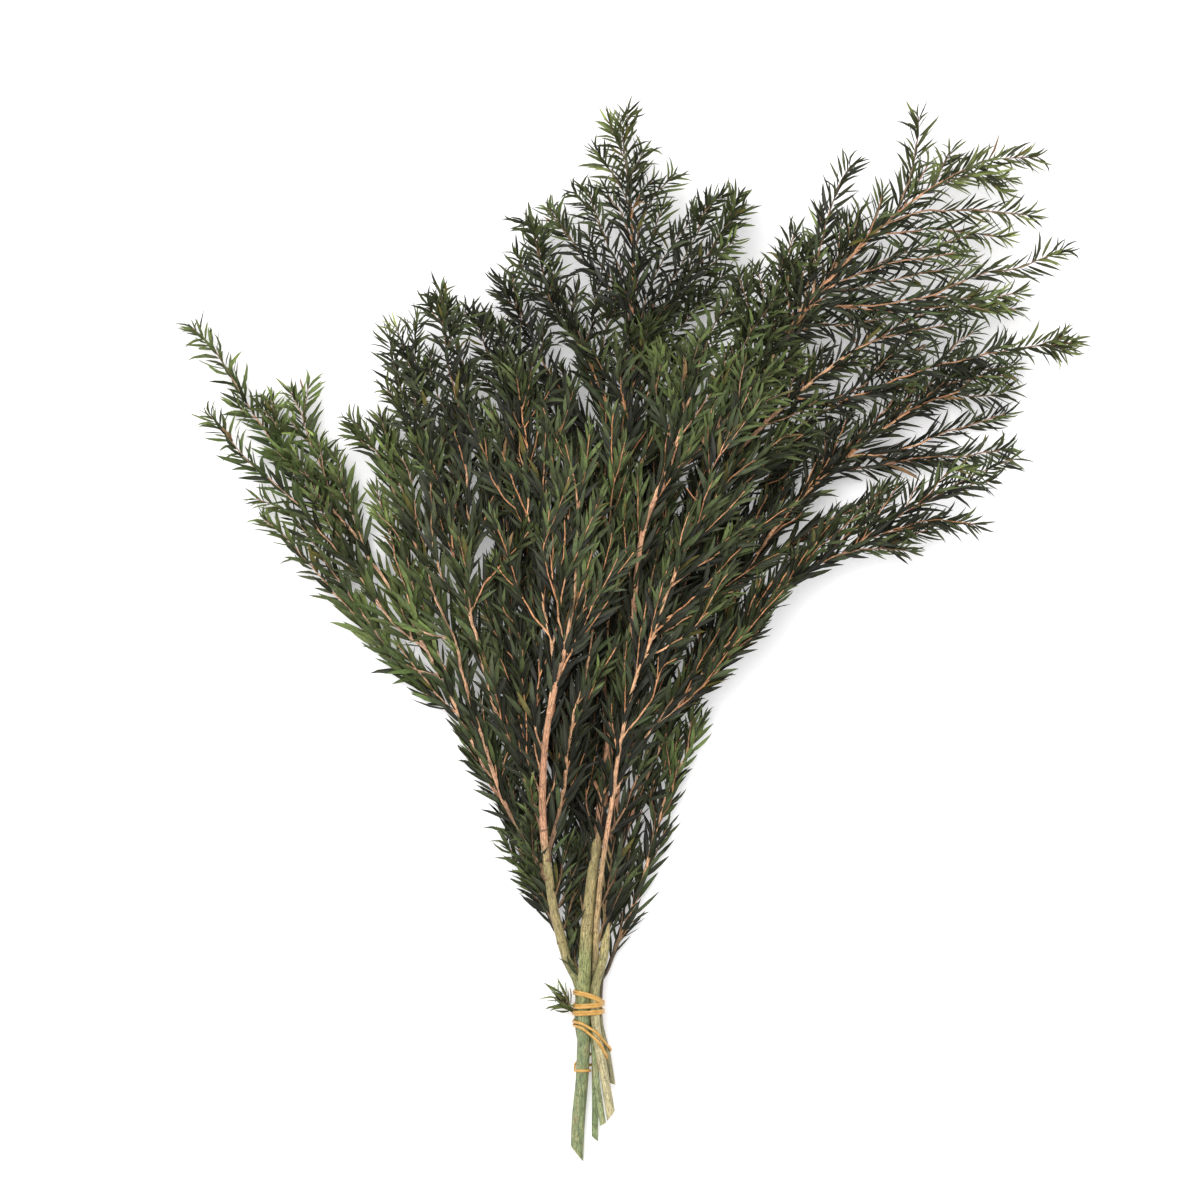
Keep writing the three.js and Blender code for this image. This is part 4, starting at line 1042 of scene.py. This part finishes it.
class LeafShape:
    """A closed leaf: a root point, rows of four points across it, and a tip point."""

    def __init__(self, stations, widths):
        """stations: how far along it the rows are; widths: how wide it is there, of its greatest width."""
        self.stations = np.array([0, *stations, 1.0])
        self.widths = np.array([0, *widths, 0.0])
        self.rows = len(stations)
        self.points = self.rows * 4 + 2
        quads = []
        triangles = []
        for k in range(4):
            after = (k + 1) % 4
            triangles.append((0, 1 + after, 1 + k))
            for row in range(self.rows - 1):
                a, b = 1 + row * 4 + k, 1 + row * 4 + after
                quads.append((a, b, b + 4, a + 4))
            last = 1 + (self.rows - 1) * 4
            triangles.append((last + k, last + after, self.points - 1))
        self.quads = np.array(quads)
        self.triangles = np.array(triangles)


BROAD_BLADE = LeafShape([0.1, 0.32, 0.6, 0.84], [0.42, 0.96, 0.92, 0.42])
NEEDLE = LeafShape([0.12, 0.42, 0.76], [0.6, 1.0, 0.58])


def airiness(pixels):
    """0 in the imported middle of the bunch, 1 out in the air."""
    away = smooth(np.hypot(*(pixels - PACKED_MIDDLE).T), *PACKED_REACH)
    away = away * (1 - smooth(pixels[:, 1], *AIR_END_ROWS))
    away = away * (1 - share_near(pixels, LONG_LEAF_PLACES))
    return np.maximum(away, np.clip(share_near(pixels, OPEN_PLACES), 0, 1))


def covered(points):
    """How far under the rest of the bunch each point lies, from 0 to 1, which sets its painted shade."""
    share = np.clip(share_near(pixel_of(points), COVERED_PLACES), 0, 1)
    return share * (1 - smooth(points[:, 2], *COVER_HEIGHTS))


def by_place(to_tip, airy, packed_row, airy_row):
    """A size of leaves at a distance from the tip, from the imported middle's row and the air's."""
    return mix(np.interp(to_tip, FROM_TIP, packed_row), np.interp(to_tip, FROM_TIP, airy_row), airy)


def share_near(pixels, places):
    """How strongly each pixel is inside one of the places, which fade outwards."""
    total = np.zeros(len(pixels))
    for x, y, reach, share in places:
        distance = np.hypot(*(pixels - (x, y)).T)
        total = np.maximum(total, share * np.exp(-((distance / reach) ** 2)))
    return total


def leaf_spots(line, rng):
    """How far along a line its leaves sit: closer together towards its tip."""
    grid = np.linspace(line.leafy_from, line.length, LEAF_GRID)
    pixels = pixel_of(line.at(grid, line.points))
    spacing = by_place(line.length - grid, airiness(pixels), PACKED_SPACING, AIRY_SPACING)
    spacing = spacing * (1 + share_near(pixels, SPARSE_PLACES))
    grown = np.concatenate([[0], np.cumsum(np.diff(grid) * 2 / (spacing[1:] + spacing[:-1]))])
    order = np.arange(int(grown[-1]) + 1)
    return np.interp(order + rng.uniform(-SPOT_SPREAD, SPOT_SPREAD, len(order)), grown, grid)


def grow_leaves(line, rng):
    """Where the leaves of one line sit and how each is shaped, as arrays with a row a leaf."""
    spots = leaf_spots(line, rng)
    count = len(spots)
    to_tip = line.length - spots
    root = line.at(spots, line.points)
    pixels = pixel_of(root)
    airy = airiness(pixels)
    green = share_near(pixels, GREEN_PLACES)

    direction = unit(line.at(spots, line.directions))
    up, side = crossing_frame(direction)
    degrees = rng.uniform(0, 360) + GOLDEN_ANGLE * np.arange(count) + rng.normal(0, TURN_SPREAD, count)
    turn = np.radians(degrees)
    turn = np.mod(turn + mix(*TURN_PULL, airy) * np.sin(2 * turn), 2 * math.pi)
    slate = share_near(pixels, SLATE_PLACES)
    clear_share = CLEAR_SHARE * (1 - airy) * (1 - CLEAR_LOSS_IN_GREEN * np.clip(green, 0, 1))
    clear_share = clear_share * (1 - CLEAR_LOSS_IN_SLATE * np.clip(slate, 0, 1))
    clear_share = clear_share * (1 - CLEAR_LOSS_BELOW * smooth(pixels[:, 1], *CLEAR_END_ROWS))
    clear = rng.random(count) < clear_share
    turn = np.where(clear, CLEAR_TOP + turn * (1 - CLEAR_TOP / math.pi), turn)
    outward = up * np.cos(turn)[:, None] + side * np.sin(turn)[:, None]
    round_twig = np.cross(direction, outward)

    length = by_place(to_tip, airy, PACKED_LENGTH, AIRY_LENGTH) * rng.uniform(*LENGTH_SPREAD, count)
    opening = by_place(to_tip, airy, PACKED_OPENING, AIRY_OPENING) + rng.normal(0, OPENING_SPREAD, count)
    curl = mix(*CURL, airy) + rng.normal(0, 1, count) * mix(*CURL_SPREAD, airy)
    fine = share_near(pixels, FINE_PLACES)
    width = length * mix(mix(MIDDLING_LEAF, BROAD_LEAF, np.clip(green, 0, 1)), NARROW_LEAF, fine)
    return dict(
        root=root + outward * (line.radius_at(spots) * LEAF_ROOT_SHARE)[:, None],
        direction=direction,
        outward=outward,
        round_twig=round_twig,
        length=length,
        width=width * rng.uniform(*WIDTH_SPREAD, count),
        opening=np.radians(opening),
        curl=np.radians(curl),
        sway=rng.normal(0, 1, count) * mix(*SWAY_SPREAD, airy),
        facing_up=np.clip(rng.normal(*FACING_UP, count), 0, 1),
        young=1 - smooth(to_tip, 0, YOUNG_REACH),
        green=green,
        painted_shade=covered(root),
        slate=slate,
        high=(1 - airy) * smooth(root[:, 2], *TOP_HEIGHTS),
        pale=share_near(pixels, PALE_PLACES),
        count=count,
    )


def grow_spurs(line, rng):
    """Short leafy side twigs, which fill a shoot out towards its tip."""
    spurs = []
    hand = rng.choice([-1, 1])
    from_tip = rng.uniform(*FIRST_SPUR)
    while from_tip < line.length - max(line.leafy_from, SPUR_ROOM):
        spot = np.array([line.length - from_tip])
        root = line.at(spot, line.points)
        pixel = pixel_of(root)
        airy = airiness(pixel)[0]
        direction = unit(line.at(spot, line.directions))
        up, side = crossing_frame(direction)
        from_tip += mix(*SPUR_STEP, airy) * rng.uniform(*SPUR_STEP_SPREAD)
        if share_near(pixel, CALM_PLACES)[0] + AIRY_CALM * airy > rng.random():
            continue
        inwards = -np.sign(side[0, 0] * (pixel[0, 0] - PACKED_MIDDLE[0]))
        if pixel[0, 1] > SPREAD_Y:
            hand = inwards
        tilt = rng.uniform(-SPUR_TILT, SPUR_TILT)
        outward = side[0] * hand * math.cos(tilt) + up[0] * math.sin(tilt)
        angle = math.radians(mix(*SPUR_ANGLE, airy) + rng.normal(0, SPUR_ANGLE_SPREAD))
        length = mix(*SPUR_LENGTH, airy) * rng.uniform(*SPUR_LENGTH_SPREAD)
        along = np.linspace(0, 1, SPUR_POINTS)[:, None]
        lean = outward * math.sin(angle) * (along - SPUR_LEAN_BACK * along * along)
        points = root + length * (direction * math.cos(angle) * along + lean)
        root_radius = min(SPUR_RADIUS, line.radius_at(spot)[0] * ROOT_SHARE)
        radii = np.linspace(root_radius, TIP_RADIUS * SPUR_TIP_SHARE, SPUR_POINTS)
        spurs.append(Line(wiggled(points, WIGGLE / 2, rng), radii, LEAFLESS_ROOT * SPUR_LEAFLESS_SHARE))
        hand = -hand
    return spurs


def leaf_tints(leaves, rng):
    """Each leaf's colour, from where it is on the bunch, its twig, and chance, with painted light and shade."""
    count = leaves["count"]
    young, high = leaves["young"], leaves["high"]
    twig_green = rng.normal(0, TWIG_GREEN_SPREAD)
    twig_tone = math.exp(rng.normal(0, TWIG_TONE_SPREAD))
    slate = rng.uniform(0, SLATE_CHANCE) + leaves["slate"] - YOUNG_SLATE_LOSS * young ** 2
    slate = np.clip(slate, 0, 1)[:, None]
    chance = rng.random(count)
    green = leaves["green"] + twig_green + rng.normal(0, LEAF_GREEN_SPREAD, count) + YOUNG_GREEN * young ** 2
    green = np.clip(green + HIGH_GREEN * high, 0, MOST_GREEN)
    pale = np.clip(leaves["pale"] * rng.uniform(*PALE_SPREAD, count) + YOUNG_PALE * young * green, 0, 1)
    colours = mix(mix(CHARCOAL_GREEN, SLATE_GREEN, slate), MID_GREEN, green[:, None])
    colours = mix(colours, PALE_GREEN, pale[:, None])
    dark_share = DARK_LEAF_SHARE * (1 - DARK_LEAF_LOSS_IN_GREEN * np.clip(green, 0, 1))[:, None]
    tone = np.where(rng.random((count, 1)) < dark_share, DARK_LEAF_TONE, LIGHT_LEAF_TONE)
    tone = tone * np.exp(rng.normal(0, LEAF_TONE_SPREAD, (count, 1))) * twig_tone
    # Painted light on leaves on top of the bunch's middle, and painted shade on leaves under the rest of it
    tone = tone * (1 + TOP_PAINTED_LIGHT * high)[:, None] * (1 - COVERED_LEAF_PAINTED_SHADE * leaves["painted_shade"])[:, None]
    colours = np.where((chance < OLIVE_CHANCE)[:, None], OLIVE_YELLOW, colours * tone)
    return np.where((chance < DRY_CHANCE)[:, None], DRY_TAN, colours)


def add_leaves(parts, leaves, tints, shape, rng):
    """Closed, curved blades, narrow and pointed, all of one line at once."""
    count = leaves["count"]
    length = leaves["length"][:, None]
    width = leaves["width"][:, None]
    stations = shape.stations[None]
    widths = shape.widths[None]
    bend = leaves["opening"][:, None] + leaves["curl"][:, None] * (stations - STRAIGHT_STATION)
    headings = (leaves["direction"][:, None] * np.cos(bend)[..., None]
                + leaves["outward"][:, None] * np.sin(bend)[..., None]
                + leaves["round_twig"][:, None] * (leaves["sway"][:, None] * stations * 2)[..., None])
    headings = unit(headings)
    steps = np.diff(shape.stations)[None, :, None] * length[..., None]
    travelled = np.cumsum((headings[:, 1:] + headings[:, :-1]) / 2 * steps, axis=1)
    spine = leaves["root"][:, None] + np.concatenate([np.zeros((count, 1, 3)), travelled], axis=1)

    natural = np.cross(headings, leaves["round_twig"][:, None])
    sky = unit(np.array([0, 0, 1.0]) - headings * headings[..., 2:])
    natural = natural * np.sign(np.sum(natural * sky, axis=-1, keepdims=True) + 1e-6)
    face = unit(mix(natural, sky, leaves["facing_up"][:, None, None]))
    across = np.cross(face, headings)
    twist = rng.normal(0, LEAF_TWIST, (count, 1)) * stations
    cos, sin = np.cos(twist)[..., None], np.sin(twist)[..., None]
    across, face = across * cos + face * sin, face * cos - across * sin

    half = (width / 2 * widths)[..., None]
    thick = (LEAF_THICKNESS / 2 * np.sqrt(widths) * np.ones((count, 1)))[..., None]
    dish = half * LEAF_DISH
    left = spine + across * half + face * dish
    right = spine - across * half + face * dish
    top = spine + face * (thick - dish * RIB_RISE)
    under = spine - face * thick
    inner = np.stack([left, top, right, under], axis=2)[:, 1:-1].reshape(count, -1, 3)
    points = np.concatenate([spine[:, :1], inner, spine[:, -1:]], axis=1)
    points = settled(points.reshape(-1, 3))

    sides = np.array([1.0, 0.0, -1.0, 0.0])
    blade = np.zeros((shape.points, 3))
    blade[1:-1, 0] = np.tile(sides, shape.rows)
    blade[1:-1, 1] = np.repeat(shape.stations[1:-1], 4)
    blade[-1, 1] = 1
    blade = np.repeat(blade[None], count, axis=0)
    blade[..., 2] = rng.uniform(0, SEEDS, (count, 1))
    starts = np.arange(count)[:, None, None] * shape.points
    quads = (shape.quads[None] + starts).reshape(-1, 4)
    triangles = (shape.triangles[None] + starts).reshape(-1, 3)
    start = parts.count
    parts.add(points, quads, blade=blade.reshape(-1, 3), tint=np.repeat(tints, shape.points, axis=0))
    parts.faces.append((triangles + start, 0))


# Materials

class Shades:
    """A material's node tree, with short calls for the nodes that are used here."""

    def __init__(self, name):
        self.material = bpy.data.materials.new(name)
        self.material.use_nodes = True
        self.tree = self.material.node_tree
        self.shader = self.tree.nodes["Principled BSDF"]

    def node(self, kind, inputs=(), **settings):
        made = self.tree.nodes.new(kind)
        for name, value in settings.items():
            setattr(made, name, value)
        for name, value in dict(inputs).items():
            self.put(made, name, value)
        return made

    def put(self, node, name, value):
        if isinstance(value, bpy.types.NodeSocket):
            self.tree.links.new(value, node.inputs[name])
        else:
            node.inputs[name].default_value = value

    def set(self, name, value):
        self.put(self.shader, name, value)

    def attribute(self, name):
        return self.node("ShaderNodeAttribute", attribute_name=name).outputs["Vector"]

    def scaled(self, vector, factors):
        return self.node("ShaderNodeVectorMath", {0: vector, 1: factors}, operation="MULTIPLY").outputs[0]

    def separate(self, vector):
        return self.node("ShaderNodeSeparateXYZ", {0: vector}).outputs

    def noise(self, vector, scale, detail=3.0, roughness=0.55):
        inputs = {"Vector": vector, "Scale": scale, "Detail": detail, "Roughness": roughness}
        return self.node("ShaderNodeTexNoise", inputs).outputs["Fac"]

    def stretched_noise(self, vector, factors, detail=3.0, roughness=0.55):
        return self.noise(self.scaled(vector, factors), 1.0, detail, roughness)

    def stretched_cells(self, vector, factors, feature="F1"):
        inputs = {"Vector": self.scaled(vector, factors), "Scale": 1.0}
        return self.node("ShaderNodeTexVoronoi", inputs, feature=feature).outputs["Distance"]

    def math(self, operation, a, b=0.0, clamp=False):
        return self.node("ShaderNodeMath", {0: a, 1: b}, operation=operation, use_clamp=clamp).outputs[0]

    def ramp(self, value, start, end, low=0.0, high=1.0):
        inputs = {"Value": value, "From Min": start, "From Max": end, "To Min": low, "To Max": high}
        return self.node("ShaderNodeMapRange", inputs, interpolation_type="SMOOTHSTEP").outputs["Result"]

    def blend(self, share, a, b, kind="MIX"):
        made = self.node("ShaderNodeMix", data_type="RGBA", blend_type=kind)
        for index, value in ((0, share), (6, a), (7, b)):
            if isinstance(value, bpy.types.NodeSocket):
                self.tree.links.new(value, made.inputs[index])
            else:
                made.inputs[index].default_value = value
        return made.outputs[2]

    def toned(self, colour, amount):
        """The colour times a number that varies over the surface."""
        return self.node("ShaderNodeVectorMath", {0: colour, 3: amount}, operation="SCALE").outputs[0]

    def stained(self, colour, *stains):
        """The colour under stains: for each where it is, how strong it is there and its own colour."""
        for mask, share, stain in stains:
            colour = self.blend(self.math("MULTIPLY", mask, share), colour, solid_colour(stain))
        return colour

    def bump(self, height, strength, distance):
        inputs = {"Height": height, "Strength": strength, "Distance": distance}
        self.set("Normal", self.node("ShaderNodeBump", inputs).outputs["Normal"])


def solid_colour(colour):
    """A colour as a node takes it, with full cover."""
    return (*[float(part) for part in colour], 1.0)


def leaf_material():
    """Satin leaves, each with its own tint, painted shade towards the root, a paler rib and edge and a dry tip.
    """
    shades = Shades("preserved_leaf")
    blade = shades.attribute("blade")
    parts = shades.separate(blade)
    across = shades.math("ABSOLUTE", parts[0])
    tint = shades.attribute("tint")
    mottle = shades.stretched_noise(blade, (1.2, 9.0, 3.0), 4.0)
    veins = shades.stretched_noise(blade, (7.0, 1.6, 5.0), 2.0)
    rib = shades.ramp(across, 0.0, 0.16, 1.0, 0.0)
    edge = shades.ramp(across, 0.8, 1.0, 0.0, 1.0)
    tone = shades.ramp(mottle, 0.3, 0.72, 0.72, 1.28)
    # Painted shade: each blade darker at its root, where the twig and the leaves round it shade it, lighter
    # towards its tip
    reach = shades.ramp(parts[1], 0.02, 0.6, 0.55, 1.15)
    colour = shades.toned(tint, shades.math("MULTIPLY", tone, reach))
    colour = shades.stained(colour, (rib, 0.3, RIB_GREEN), (edge, 0.12, EDGE_TAN))
    colour = shades.blend(shades.ramp(parts[1], 0.9, 1.0, 0.0, 0.35), colour, solid_colour(TIP_BROWN))
    shades.set("Base Color", colour)
    shades.set("Roughness", shades.ramp(veins, 0.3, 0.7, 0.36, 0.52))
    shades.set("Specular IOR Level", 0.22)
    relief = shades.math("ADD", shades.math("MULTIPLY", veins, 0.6), shades.math("MULTIPLY", rib, -0.7))
    shades.bump(relief, 0.5, 0.0002)
    return shades.material


def bark_material():
    """Bark in the line's own tint, with streaks along it, cracks, pits and leaf scars."""
    shades = Shades("melaleuca_bark")
    bark = shades.attribute("bark")
    tint = shades.attribute("tint")
    streaks = shades.stretched_noise(bark, (1.7, 1.7, 0.16), 5.0, 0.62)
    patches = shades.stretched_noise(bark, (0.32, 0.32, 0.1), 4.0)
    flakes = shades.stretched_cells(bark, (0.9, 0.9, 0.2), "DISTANCE_TO_EDGE")
    pits = shades.stretched_noise(bark, (1.3, 1.3, 0.34), 4.0, 0.75)
    scars = shades.stretched_cells(bark, (0.5, 0.5, 0.42))
    crack = shades.ramp(flakes, 0.0, 0.07, 1.0, 0.0)
    pit = shades.ramp(pits, 0.565, 0.625)
    scar = shades.ramp(scars, 0.1, 0.2, 1.0, 0.0)
    streak_tone = shades.ramp(streaks, 0.34, 0.66, 0.68, 1.35)
    tone = shades.math("MULTIPLY", streak_tone, shades.ramp(patches, 0.32, 0.68, 0.8, 1.25))
    tan = shades.ramp(patches, 0.5, 0.66)
    colour = shades.stained(shades.toned(tint, tone), (tan, 0.3, BARK_TAN), (crack, 0.35, CRACK_BROWN),
                            (pit, 0.58, PIT_BROWN), (scar, 0.7, SCAR_BROWN))
    shades.set("Base Color", colour)
    shades.set("Roughness", shades.ramp(streaks, 0.3, 0.7, 0.42, 0.7))
    shades.set("Specular IOR Level", 0.4)
    relief = shades.math("SUBTRACT", streaks, shades.math("MULTIPLY", crack, 0.5))
    relief = shades.math("SUBTRACT", relief, shades.math("MULTIPLY", pit, 0.5))
    relief = shades.math("ADD", relief, shades.math("MULTIPLY", scar, 0.8))
    shades.bump(relief, 0.9, 0.0004)
    return shades.material


def cut_wood_material():
    """The cut ends: pale wood with rings, a darker pith and green rays where the dye went in."""
    shades = Shades("cut_wood")
    bark = shades.attribute("bark")
    parts = shades.separate(bark)
    flat = shades.node("ShaderNodeCombineXYZ", {0: parts[0], 1: parts[1]}).outputs[0]
    radius = shades.node("ShaderNodeVectorMath", {0: flat}, operation="LENGTH").outputs["Value"]
    wobble = shades.noise(bark, 1.1, 3.0)
    phase = shades.math("ADD", shades.math("MULTIPLY", radius, 11), shades.math("MULTIPLY", wobble, 5))
    rings = shades.math("SINE", phase)
    rays = shades.noise(shades.scaled(flat, (2.4, 2.4, 1)), 2.0, 4.0)
    tone = shades.ramp(rings, -1.0, 1.0, 0.82, 1.06)
    wood = shades.toned(shades.blend(rays, solid_colour(CUT_WOOD), solid_colour(DYED_WOOD)), tone)
    colour = shades.stained(wood, (shades.ramp(radius, 0.15, 0.45, 1.0, 0.0), 0.7, PITH_BROWN))
    shades.set("Base Color", colour)
    shades.set("Roughness", shades.ramp(rays, 0.2, 0.8, 0.65, 0.85))
    shades.bump(shades.math("ADD", rings, shades.math("MULTIPLY", rays, 2)), 0.5, 0.00015)
    return shades.material


def band_material():
    """Natural rubber, cloudy, with a fine grain."""
    shades = Shades("golden_rubber")
    bark = shades.attribute("bark")
    cloud = shades.noise(bark, 0.35, 3.0)
    grain = shades.noise(bark, 2.6, 4.0)
    patches = shades.ramp(cloud, 0.3, 0.7)
    colour = shades.blend(patches, solid_colour(DEEP_RUBBER), solid_colour(LIGHT_RUBBER))
    shades.set("Base Color", shades.toned(colour, shades.ramp(grain, 0.3, 0.75, 0.9, 1.08)))
    shades.set("Roughness", shades.ramp(grain, 0.3, 0.7, 0.38, 0.52))
    shades.set("Subsurface Weight", 0.12)
    shades.set("Subsurface Radius", (0.0016, 0.0009, 0.0003))
    shades.set("Subsurface Scale", 1.0)
    shades.bump(grain, 0.25, 0.00012)
    return shades.material


def floor_material():
    """White paper with a faint grain, which glows a little as an overexposed floor does."""
    shades = Shades("paper_floor")
    position = shades.node("ShaderNodeNewGeometry").outputs["Position"]
    grain = shades.noise(position, 60, 4.0)
    colour = shades.blend(grain, (0.86, 0.855, 0.86, 1), (0.885, 0.88, 0.885, 1))
    shades.set("Base Color", colour)
    shades.set("Roughness", 0.9)
    shades.set("Specular IOR Level", 0.1)
    shades.set("Emission Color", (1, 0.993, 0.997, 1))
    shades.set("Emission Strength", FLOOR_GLOW)
    return shades.material


# The rubber band

def trunk_section(line, y):
    """Where a trunk crosses a given place along the bunch: its middle and radius, or nothing."""
    ys = line.points[:, 1]
    last = np.argmax(ys > y)
    if last == 0:
        return None
    share = (y - ys[last - 1]) / (ys[last] - ys[last - 1])
    middle = mix(line.points[last - 1], line.points[last], share)
    return middle[0], middle[2], mix(line.radii[last - 1], line.radii[last], share)


def loop_point(trunks, pixel_y, angle):
    """The point of a taut loop round the given trunks, in one direction."""
    y = place(0, pixel_y)[1]
    out_x, out_z = math.cos(math.radians(angle)), math.sin(math.radians(angle))
    sections = [section for section in (trunk_section(line, y) for line in trunks) if section]
    x, z, radius = max(sections, key=lambda s: s[0] * out_x + s[1] * out_z + s[2])
    away = radius + BAND_GAP + BAND_RADIUS
    return np.array([x + out_x * away, y, z + out_z * away])


def strand_points(trunks, turns, held_below):
    """A strand's points, where its part below the tie goes round only some of the stems."""
    points = []
    for (from_angle, from_y), (to_angle, to_y) in zip(turns, turns[1:]):
        count = math.ceil((to_angle - from_angle) / BAND_STEP)
        held = held_below if from_y > BELOW_TIE_Y else trunks
        start = loop_point(held, from_y, from_angle)
        end = loop_point(held, to_y, to_angle)
        for share in np.arange(count) / count:
            angle = mix(from_angle, to_angle, share)
            point = loop_point(held, mix(from_y, to_y, share), angle)
            if to_angle - from_angle == 180:
                across = np.clip((point[0] - start[0]) / (end[0] - start[0]), 0, 1)
                bowed = 1 - (1 - across) ** BAND_BOW
                point = loop_point(held, mix(from_y, to_y, bowed), angle)
            points.append(point)
    points.append(loop_point(trunks, turns[-1][1], turns[-1][0]))
    return points


def relaxed(points, rounds):
    """A closed route with its corners eased, as a stretched band has none."""
    points = np.array(points)
    for _ in range(rounds):
        points = (np.roll(points, 1, axis=0) + 2 * points + np.roll(points, -1, axis=0)) / 4
    return points


def band_parts(trunks):
    """The closed loop of the band: up one strand, round the hook and back along the other."""
    first = strand_points(trunks, BAND_TURNS, trunks)
    second = strand_points(trunks, SECOND_STRAND_TURNS, [trunks[index] for index in SECOND_STRAND_HOLDS])
    hook = [loop_point(trunks[:1], HOOK_Y, angle) for angle in np.linspace(*HOOK_ANGLES, HOOK_POINTS)]
    route = np.array([*first[::-1], *hook[::-1], *second])
    route = even_points(np.vstack([route, route[:1]]), BAND_POINT_STEP)[:-1]
    route = relaxed(route, CORNER_ROUNDS)
    directions = unit(np.roll(route, -1, axis=0) - np.roll(route, 1, axis=0))
    across = unit(np.cross(directions, [0, 1, 0]))
    along = unit(np.cross(across, directions))
    turn = np.arange(BAND_SIDES) * 2 * math.pi / BAND_SIDES
    travelled = np.arange(len(route)) * BAND_POINT_STEP
    swell = 1 + 0.05 * np.sin(travelled / 7) + 0.03 * np.sin(travelled / 2.3)
    flat = BAND_RADIUS * BAND_FLAT * swell
    wide = BAND_RADIUS * BAND_WIDE * swell
    points = (route[:, None] + across[:, None] * (np.cos(turn)[None] * flat[:, None])[..., None]
              + along[:, None] * (np.sin(turn)[None] * wide[:, None])[..., None])
    bark = np.stack(np.broadcast_arrays(np.cos(turn)[None], np.sin(turn)[None], travelled[:, None]), axis=-1)
    parts = MeshParts()
    faces = tube_faces(len(route) + 1, BAND_SIDES) % (len(route) * BAND_SIDES)
    parts.add(points.reshape(-1, 3), faces, bark=bark.reshape(-1, 3))
    return parts


# Build the bunch

leaf_materials = [leaf_material()]
wood_materials = [bark_material(), cut_wood_material()]


def dress(piece, node):
    """Show the piece in place of a node of the CAD: hang it on the root body and hide the node."""
    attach(piece, "root")
    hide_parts(node)


trunks = []
for number, (name, stem) in enumerate(STEMS.items()):
    rng = np.random.default_rng(100 + number)
    lines = [trunk_line(stem)]
    for row in stem["shoots"]:
        lines.append(shoot_line(row, lines, rng))
    trunks.append(lines[0])
    wood = MeshParts()
    foliage = MeshParts()
    for line in lines:
        add_wood(wood, line, SHOOT_SIDES, rng)
        if line.leafy_from > line.length:
            continue
        for twig in [line, *grow_spurs(line, rng)]:
            if twig is not line:
                add_wood(wood, twig, SPUR_SIDES, rng)
            leaves = grow_leaves(twig, rng)
            is_airy = airiness(pixel_of(twig.points[-1:]))[0] > AIRY_FROM
            is_hidden = covered(twig.points).mean() > HIDDEN_FROM
            shape = NEEDLE if is_airy or is_hidden else BROAD_BLADE
            add_leaves(foliage, leaves, leaf_tints(leaves, rng), shape, rng)
    dress(wood.make(f"{name}_wood", wood_materials, WOOD_CREASE), name)
    dress(foliage.make(f"{name}_leaves", leaf_materials, LEAF_CREASE), name)

strands = band_parts(trunks).make("rubber_band_strands", [band_material()], BAND_CREASE)
dress(strands, "rubber_band")

# Floor, light and camera

bpy.ops.mesh.primitive_plane_add(size=FLOOR_SIZE, location=(0, 0, 0))
floor = bpy.context.object
floor.name = "floor"
floor.data.materials.append(floor_material())

world = bpy.data.worlds.new("studio")
bpy.context.scene.world = world
world.use_nodes = True
sky = world.node_tree.nodes["Background"].inputs
sky["Color"].default_value = (1, 0.995, 1, 1)
sky["Strength"].default_value = SKY_STRENGTH

lamp = bpy.data.lights.new("softbox", "AREA")
lamp.shape = "DISK"
lamp.size = LAMP_SIZE
lamp.energy = LAMP_POWER
softbox = bpy.data.objects.new("softbox", lamp)
softbox.location = LAMP_PLACE
bpy.context.collection.objects.link(softbox)
softbox.rotation_euler = (-softbox.location).to_track_quat("-Z", "Y").to_euler()

camera_data = bpy.data.cameras.new("camera")
camera = bpy.data.objects.new("camera", camera_data)
bpy.context.collection.objects.link(camera)
centre = place(*PHOTO_CENTRE) * MM
camera.location = (centre[0], centre[1], CAMERA_HEIGHT)
camera.rotation_euler = (0, 0, 0)
camera_data.sensor_width = SENSOR
camera_data.lens = SENSOR * (CAMERA_HEIGHT - PLAN_HEIGHT) / (PHOTO_WIDTH * PIXEL * MM)
camera_data.clip_end = FAR_END
bpy.context.scene.camera = camera
bpy.context.scene.view_settings.view_transform = "Standard"
